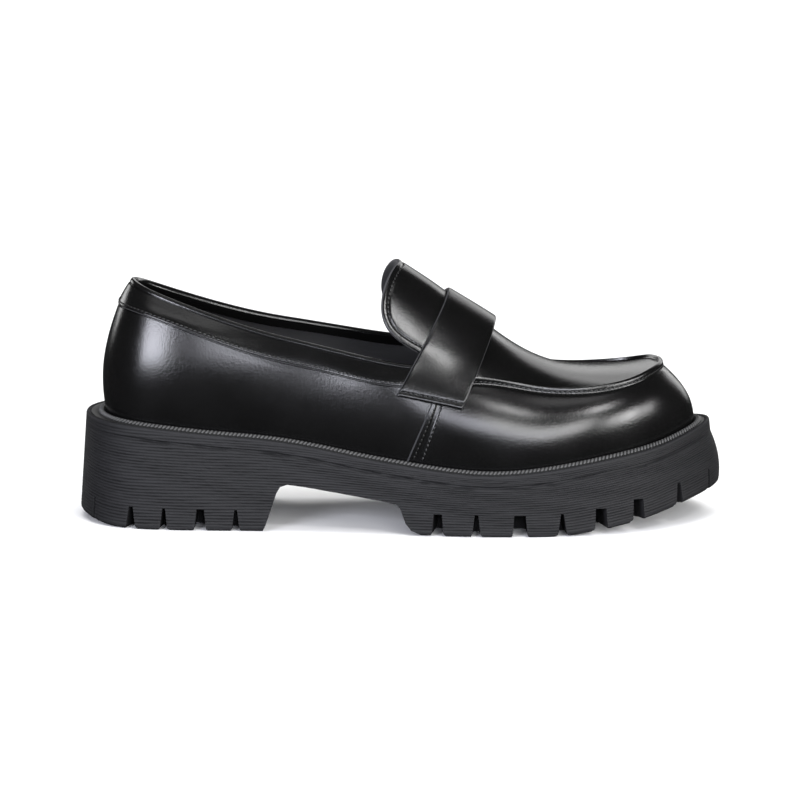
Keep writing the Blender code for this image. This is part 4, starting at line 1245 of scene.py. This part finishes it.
class LOAFER_OT_outsole(Operator):
    """Moulded unit sole with its heel, arch, lugs and ribbed side"""

    bl_idname = "loafer.outsole"
    bl_label = "Outsole"

    def execute(self, context):
        looks = context.scene.loafer_looks
        lateral_place, medial_place = side_places(SOLE_STATIONS)
        rib_pitch = looks.rib_pitch / MM
        lateral, lateral_groove = sole_side(lateral_place, rib_pitch)
        medial, medial_groove = sole_side(medial_place, rib_pitch)
        seat = bridge(lateral[-1], medial[-1], SOLE_ACROSS, seat_height)
        floor = bridge(medial[0], lateral[0], SOLE_ACROSS, tread_height)
        grid = closed_rows(np.concatenate([lateral, seat, medial[::-1], floor]))
        plain = np.zeros(seat.shape[:2])
        grooves = closed_rows(np.concatenate([lateral_groove, plain, medial_groove[::-1], plain]))
        mesh_maker = lay_grid(grid, grooves=grooves)
        bmesh.ops.dissolve_degenerate(mesh_maker, edges=mesh_maker.edges, dist=SLIVER)
        blank = to_mesh("sole_blank", mesh_maker)
        mesh = cut_out("outsole_rubber", blank, (arch_cutter, notch_cutter, pocket_cutter))
        shade(mesh, SOLE_SHARP)
        show(mesh, [moulded_sole_rubber(looks)], "outsole")
        return {"FINISHED"}


class LOAFER_OT_welt(Operator):
    """Welt strip on the rim of the sole, with its heavy seam"""

    bl_idname = "loafer.welt"
    bl_label = "Welt"

    def execute(self, context):
        looks = context.scene.loafer_looks
        sewing = context.scene.loafer_sewing
        place = around(WELT_COLUMNS)
        margin = rim_margin(place)
        rows = []
        for offset, at_rim, height in WELT_SECTION:
            plan = plan_ring(place, offset + margin * at_rim)
            rows.append(with_height(plan, seat_height(plan[:, 0]) + height))
        strip = lay_grid(closed_rows(closed_columns(np.array(rows))))
        show(to_mesh("welt_strip", strip), [extruded_welt_rubber(looks)], "welt")

        plan = plan_ring(place, np.full(len(place), WELT_STITCH[0]))
        path = with_height(plan, seat_height(plan[:, 0]) + WELT_STITCH[1])
        slope = slope_vector(place, np.full(len(place), 90 - WELT_STITCH_SLOPE))
        thread = bmesh.new()
        size = (WELT_STITCH_LENGTH, sewing.welt_thread / MM)
        sew(thread, closed_rows(path), closed_rows(slope), sewing.welt_pitch / MM, size, WELT_STITCH_SLANT)
        show(to_mesh("welt_seam", thread), [heavy_welt_thread(looks)])
        return {"FINISHED"}


class LOAFER_OT_insole(Operator):
    """Insole that closes the floor inside"""

    bl_idname = "loafer.insole"
    bl_label = "Insole"

    def execute(self, context):
        sides = []
        for place in side_places(INSOLE_STATIONS):
            rows = []
            for height, inset in INSOLE_SECTION:
                plan = plan_ring(place, np.full(len(place), -INSOLE_INSET - inset))
                rows.append(with_height(plan, seat_height(plan[:, 0]) + GAP + height))
            sides.append(np.array(rows))
        lateral = sides[0]
        medial = sides[1][::-1]
        thickness = GAP + INSOLE_SECTION[-1][0]
        top = bridge(lateral[-1], medial[0], INSOLE_ACROSS, lambda x: seat_height(x) + thickness)
        under = bridge(medial[-1], lateral[0], INSOLE_ACROSS, lambda x: seat_height(x) + GAP)
        mesh_maker = lay_grid(closed_rows(np.concatenate([lateral, top, medial, under])))
        bmesh.ops.dissolve_degenerate(mesh_maker, edges=mesh_maker.edges, dist=SLIVER)
        finishes = [lining_split_leather(context.scene.loafer_looks)]
        show(to_mesh("insole_sock", mesh_maker), finishes, "insole")
        return {"FINISHED"}


class LOAFER_OT_upper(Operator):
    """Upper with its quarters, lapped vamp and apron, and its lining"""

    bl_idname = "loafer.upper"
    bl_label = "Upper"

    def execute(self, context):
        looks = context.scene.loafer_looks
        outer, inner, _, _ = upper_faces()
        _, ahead = upper_columns()
        grid = closed_rows(closed_columns(np.concatenate([outer, inner[::-1]])))
        slots = np.zeros((len(grid) - 1, len(ahead)))
        slots[len(outer) - 1 :] = 1
        # The lap's skived edge takes the edge material, whose lighter grey is partly a painted highlight
        # along it
        bevel = (ahead > -LAP_BEVEL - LAP_BEVEL_MARGIN) & (ahead < LAP_BEVEL_MARGIN)
        slots[: row_of(RIDGE_PROFILE[0][0]), bevel & np.roll(bevel, -1)] = 2
        mesh = to_mesh("upper_leather", lay_grid(grid, slots))
        finishes = [polished_calf_leather(looks), lining_split_leather(looks), dyed_edge_and_painted_highlight(looks)]
        show(mesh, finishes, "upper")
        return {"FINISHED"}


class LOAFER_OT_collar_band(Operator):
    """Collar band folded over the edge of the opening"""

    bl_idname = "loafer.collar_band"
    bl_label = "Collar band"

    def execute(self, context):
        outside, facing, inside, inside_facing = band_faces()
        stand = np.array(BAND_FACE)[:, None, None]
        skin_out = BAND_STANDS - BAND_THICKNESS * (1 - stand)
        face = outside + facing * skin_out
        lining_side = inside - inside_facing * (WALL + BAND_INSIDE)
        back_inside = inside - inside_facing * (WALL + GAP)
        back_outside = outside + facing * (BAND_STANDS - BAND_THICKNESS)
        top_out = face[-1]
        edge_facing = facing[-1]
        top_in = outside[-1] - edge_facing * (WALL + BAND_INSIDE)
        rise = unit(outside[-1] - outside[-2])
        middle = (top_out + top_in) / 2
        roll = []
        for angle in np.radians(np.linspace(0, 180, BAND_ROLL))[1:-1]:
            roll.append(middle + (top_out - middle) * math.cos(angle) + rise * BAND_RISE * math.sin(angle))
        back_edge = outside[-1] - edge_facing * (WALL + GAP)
        section = [*face, *roll, top_in, *lining_side, *back_inside[::-1], back_edge, *back_outside[::-1]]
        grid = closed_rows(np.array(section))
        slots = np.zeros(len(grid) - 1)
        inner_edge = len(face) + len(roll) + len(lining_side)
        # The band's cut edges take the edge material, whose lighter grey is partly a painted highlight along
        # them
        slots[:BAND_EDGE_ROWS] = 1
        slots[inner_edge] = 1
        slots[-1] = 1
        mesh_maker = lay_grid(grid, slots)
        bmesh.ops.holes_fill(mesh_maker, edges=mesh_maker.edges, sides=0)
        looks = context.scene.loafer_looks
        finishes = [polished_calf_leather(looks), dyed_edge_and_painted_highlight(looks)]
        show(to_mesh("collar_leather", mesh_maker), finishes, "collar_band")
        return {"FINISHED"}


class LOAFER_OT_tongue(Operator):
    """Tongue flap with its sewn edge"""

    bl_idname = "loafer.tongue"
    bl_label = "Tongue"

    def execute(self, context):
        looks = context.scene.loafer_looks
        outer = tongue_face()
        facing = apron_facing(outer[..., 0], outer[..., 1])
        away = edge_distance(outer)
        lip = np.clip(1 - away / TONGUE_ROUNDING, 0, 1)
        round_off = TONGUE_ROUNDING * (1 - np.sqrt(1 - lip**2))
        groove = TONGUE_GROOVE * np.exp(-(((away - TONGUE_STITCH_INSET) / TONGUE_GROOVE_HALF) ** 2))
        face = outer - facing * (round_off + groove)[..., None]
        back = outer - facing * (TONGUE_THICKNESS - round_off)[..., None]
        grid = closed_rows(np.concatenate([face, back[::-1]]))
        slots = np.array([0] * len(face) + [1] * len(back))
        # The tongue's cut edge takes the edge material, whose lighter grey is partly a painted highlight
        # along it
        edge_rows = int(np.sum(np.median(away, axis=1) < TONGUE_EDGE))
        slots[len(face) - edge_rows : len(face) + edge_rows // 2] = 2
        mesh_maker = lay_grid(grid, slots)
        bmesh.ops.holes_fill(mesh_maker, edges=mesh_maker.edges, sides=0)
        finishes = [polished_calf_leather(looks), lining_split_leather(looks), dyed_edge_and_painted_highlight(looks)]
        show(to_mesh("tongue_leather", mesh_maker), finishes, "tongue")
        return {"FINISHED"}


class LOAFER_OT_saddle_strap(Operator):
    """Plain strap pulled over the instep"""

    bl_idname = "loafer.saddle_strap"
    bl_label = "Saddle strap"

    def execute(self, context):
        looks = context.scene.loafer_looks
        under, facing, way = strap_stations()
        lip = np.clip(1 - way / STRAP_ROUNDING, 0, 1)
        thickness = STRAP_THICKNESS - STRAP_ROUNDING * (1 - np.sqrt(1 - lip**2))
        thickness -= STRAP_GROOVE * np.exp(-(((way - STRAP_STITCH_INSET) / STRAP_GROOVE_HALF) ** 2))
        rings = [strap_section(low, normal, thick) for low, normal, thick in zip(under, facing, thickness)]
        grid = closed_columns(np.array(rings))
        slots = np.zeros((len(grid) - 1, grid.shape[1] - 1))
        # The strap's side edges and ends take the edge material, whose lighter grey is partly a painted
        # highlight along them
        slots[:, STRAP_ACROSS - 1 : STRAP_ACROSS + 2] = 1
        slots[:, -3:] = 1
        mesh_maker = lay_grid(grid, slots)
        ends = bmesh.ops.holes_fill(mesh_maker, edges=mesh_maker.edges, sides=0)["faces"]
        for face in ends:
            face.material_index = 1
        finishes = [polished_calf_leather(looks), dyed_edge_and_painted_highlight(looks)]
        show(to_mesh("strap_leather", mesh_maker), finishes, "saddle_strap")
        return {"FINISHED"}


class LOAFER_OT_seams(Operator):
    """Seams of the apron, laps, collar band, tongue and strap"""

    bl_idname = "loafer.seams"
    bl_label = "Seams"

    def execute(self, context):
        looks = context.scene.loafer_looks
        sewing = context.scene.loafer_sewing
        pitch = sewing.seam_pitch / MM
        loop = (pitch * STITCH_SHARE, sewing.seam_thread / MM)
        outer, _, facing, ways = upper_faces()
        place, ahead = upper_columns()

        def show_seam(name, rows, slant=STITCH_SLANT):
            thread = bmesh.new()
            for path, normals in rows:
                sew(thread, path, normals, pitch, loop, slant)
            show(to_mesh(name, thread), [waxed_polyester_thread(looks)])

        vamp = smooth(POST["vamp"](leaning(place, 1))) > 0.5
        row = row_of(APRON_STITCH)
        show_seam("apron_seam", [(outer[row][vamp], facing[row][vamp])], APRON_SLANT)

        laps = []
        above_foot, below_seam = LAP_STITCH_ENDS
        for half in (place <= TOE_PLACE, place >= TOE_PLACE):
            for way in LAP_STITCH_ROWS:
                column = int(np.argmin(np.where(half, np.abs(ahead - way), np.inf)))
                climb = ways[:, column]
                wall = (climb < below_seam) & (climb > climb[0] + above_foot)
                laps.append((outer[wall, column], facing[wall, column]))
        show_seam("lap_seams", laps)

        outside, band_facing, _, _ = band_faces()
        row = int(np.argmin(np.abs(np.array(BAND_OUTER_SHARES) - BAND_STITCH_SHARE)))
        path = outside[row] + band_facing[row] * BAND_STANDS
        show_seam("collar_seam", [(path, band_facing[row])])

        edge = tongue_face()[-1]
        along = unit(np.gradient(edge, axis=0))
        up = apron_facing(edge[:, 0], edge[:, 1])
        inward = unit(np.cross(along, up))
        path = edge + inward * TONGUE_STITCH_INSET
        path[:, 2] = apron(path[:, 0], path[:, 1])
        up = apron_facing(path[:, 0], path[:, 1])
        path -= up * TONGUE_GROOVE
        show_seam("tongue_seam", [(path, up)])

        under, strap_facing = strap_faces()
        ends = []
        sewn = slice(STRAP_SEAM_TRIM, -STRAP_SEAM_TRIM)
        for low, faces in ((under, strap_facing), (under[::-1], strap_facing[::-1])):
            step = int(np.argmin(np.abs(ways_along(low[:, 0]) - STRAP_STITCH_INSET)))
            path = low[step] + faces[step] * (STRAP_THICKNESS - STRAP_GROOVE)
            ends.append((path[sewn], faces[step][sewn]))
        show_seam("strap_seams", ends)
        return {"FINISHED"}


# Stage

CAMERA_ELEVATION = 11.7     # degrees above the horizon, looking along +Y
CAMERA_DISTANCE = 9.0
CAMERA_TARGET = (0.0, 0.00075, 0.05)
MM_PER_PIXEL = 0.4314
IMAGE_PIXELS = 800
SENSOR_MM = 36.0
FLOOR_HALF = 6.0
FLOOR_FACES = 4
ROOM_LIGHT = 0.03
LIGHT_DISTANCE = 2.0
# Soft boxes: name, azimuth to the right of the camera, elevation, width, height, radiant power and colour
LIGHTS = (
    ("heel_box", -33, 14, 0.85, 0.8, 44, "#f2f4ff"),
    ("front_box", 3, 15, 0.55, 0.5, 10, "#f2f4ff"),
    ("vamp_box", 19, 20, 0.6, 0.65, 15, "#ffffff"),
    ("toe_box", 50, 13, 0.9, 0.55, 19, "#ffffff"),
    ("toe_strip", 68, 10, 1.2, 0.5, 16, "#ffffff"),
    ("strap_box", 33, 44, 0.45, 0.35, 11, "#ffffff"),
    ("edge_box", 0, 75, 1.3, 0.5, 3.5, "#ffffff"),
    ("back_box", 170, 20, 1.2, 0.9, 4.5, "#ffffff"),
    ("medial_box", 148, 10, 0.7, 0.6, 2.5, "#ffffff"),
    ("rear_box", -140, 10, 0.7, 0.6, 4, "#ffffff"),
    ("top_box", 180, 78, 2.4, 2.4, 55, "#ffffff"),
)
UNMIRRORED = "top_box"  # lights the floor and the sole, but leaves no highlight on the leather


def aimed(name, data, azimuth, elevation, distance):
    """A light or camera that looks at the middle of the shoe, from an azimuth to the right of the photo's."""
    angle = math.radians(azimuth)
    rise = math.radians(elevation)
    level = math.cos(rise)
    away = Vector((math.sin(angle) * level, -math.cos(angle) * level, math.sin(rise)))
    made = placed(name, data)
    made.location = Vector(CAMERA_TARGET) + away * distance
    made.rotation_euler = away.to_track_quat("Z", "Y").to_euler()
    return made


class LOAFER_OT_stage(Operator):
    """White floor, soft boxes and camera"""

    bl_idname = "loafer.stage"
    bl_label = "Stage"

    def execute(self, context):
        scene = context.scene
        mesh_maker = bmesh.new()
        bmesh.ops.create_grid(mesh_maker, x_segments=FLOOR_FACES, y_segments=FLOOR_FACES, size=FLOOR_HALF)
        mesh = bpy.data.meshes.new("floor")
        mesh_maker.to_mesh(mesh)
        mesh_maker.free()
        mesh.materials.append(white_background_paper(scene.loafer_looks))
        floor = placed("floor", mesh)
        floor.visible_glossy = False

        for name, azimuth, elevation, width, height, power, code in LIGHTS:
            data = bpy.data.lights.new(name, "AREA")
            data.shape = "RECTANGLE"
            data.size = width
            data.size_y = height
            data.energy = power
            data.color = linear(code)[:3]
            lamp = aimed(name, data, azimuth, elevation, LIGHT_DISTANCE)
            lamp.visible_camera = False
            lamp.visible_glossy = name != UNMIRRORED

        world = bpy.data.worlds.new("studio")
        world.use_nodes = True
        room = world.node_tree.nodes["Background"]
        room.inputs["Color"].default_value = (1, 1, 1, 1)
        room.inputs["Strength"].default_value = ROOM_LIGHT
        scene.world = world
        scene.view_settings.view_transform = "Standard"

        data = bpy.data.cameras.new("camera")
        data.sensor_width = SENSOR_MM
        data.lens = SENSOR_MM * CAMERA_DISTANCE / (MM_PER_PIXEL * MM * IMAGE_PIXELS)
        scene.camera = aimed("camera", data, 0, CAMERA_ELEVATION, CAMERA_DISTANCE)
        return {"FINISHED"}


class LOAFER_PT_pieces(Panel):
    """Lists the pieces and their settings"""

    bl_idname = "LOAFER_PT_pieces"
    bl_label = "Platform loafer"
    bl_space_type = "VIEW_3D"
    bl_region_type = "UI"
    bl_category = "Loafer"

    def draw(self, context):
        for settings in (context.scene.loafer_sewing, context.scene.loafer_looks):
            box = self.layout.box()
            for name in settings.__annotations__:
                box.prop(settings, name)
        for piece in PIECES:
            self.layout.operator(piece.bl_idname)


PIECES = (LOAFER_OT_outsole, LOAFER_OT_welt, LOAFER_OT_insole, LOAFER_OT_upper, LOAFER_OT_collar_band,
          LOAFER_OT_tongue, LOAFER_OT_saddle_strap, LOAFER_OT_seams, LOAFER_OT_stage)
CLASSES = (LoaferSewing, LoaferLooks, *PIECES, LOAFER_PT_pieces)


def register():
    for item in CLASSES:
        bpy.utils.register_class(item)
    bpy.types.Scene.loafer_sewing = PointerProperty(type=LoaferSewing)
    bpy.types.Scene.loafer_looks = PointerProperty(type=LoaferLooks)


def unregister():
    del bpy.types.Scene.loafer_looks
    del bpy.types.Scene.loafer_sewing
    for item in reversed(CLASSES):
        bpy.utils.unregister_class(item)


def main():
    register()
    for piece in PIECES:
        group, name = piece.bl_idname.split(".")
        getattr(getattr(bpy.ops, group), name)()


if __name__ == "__main__":
    main()
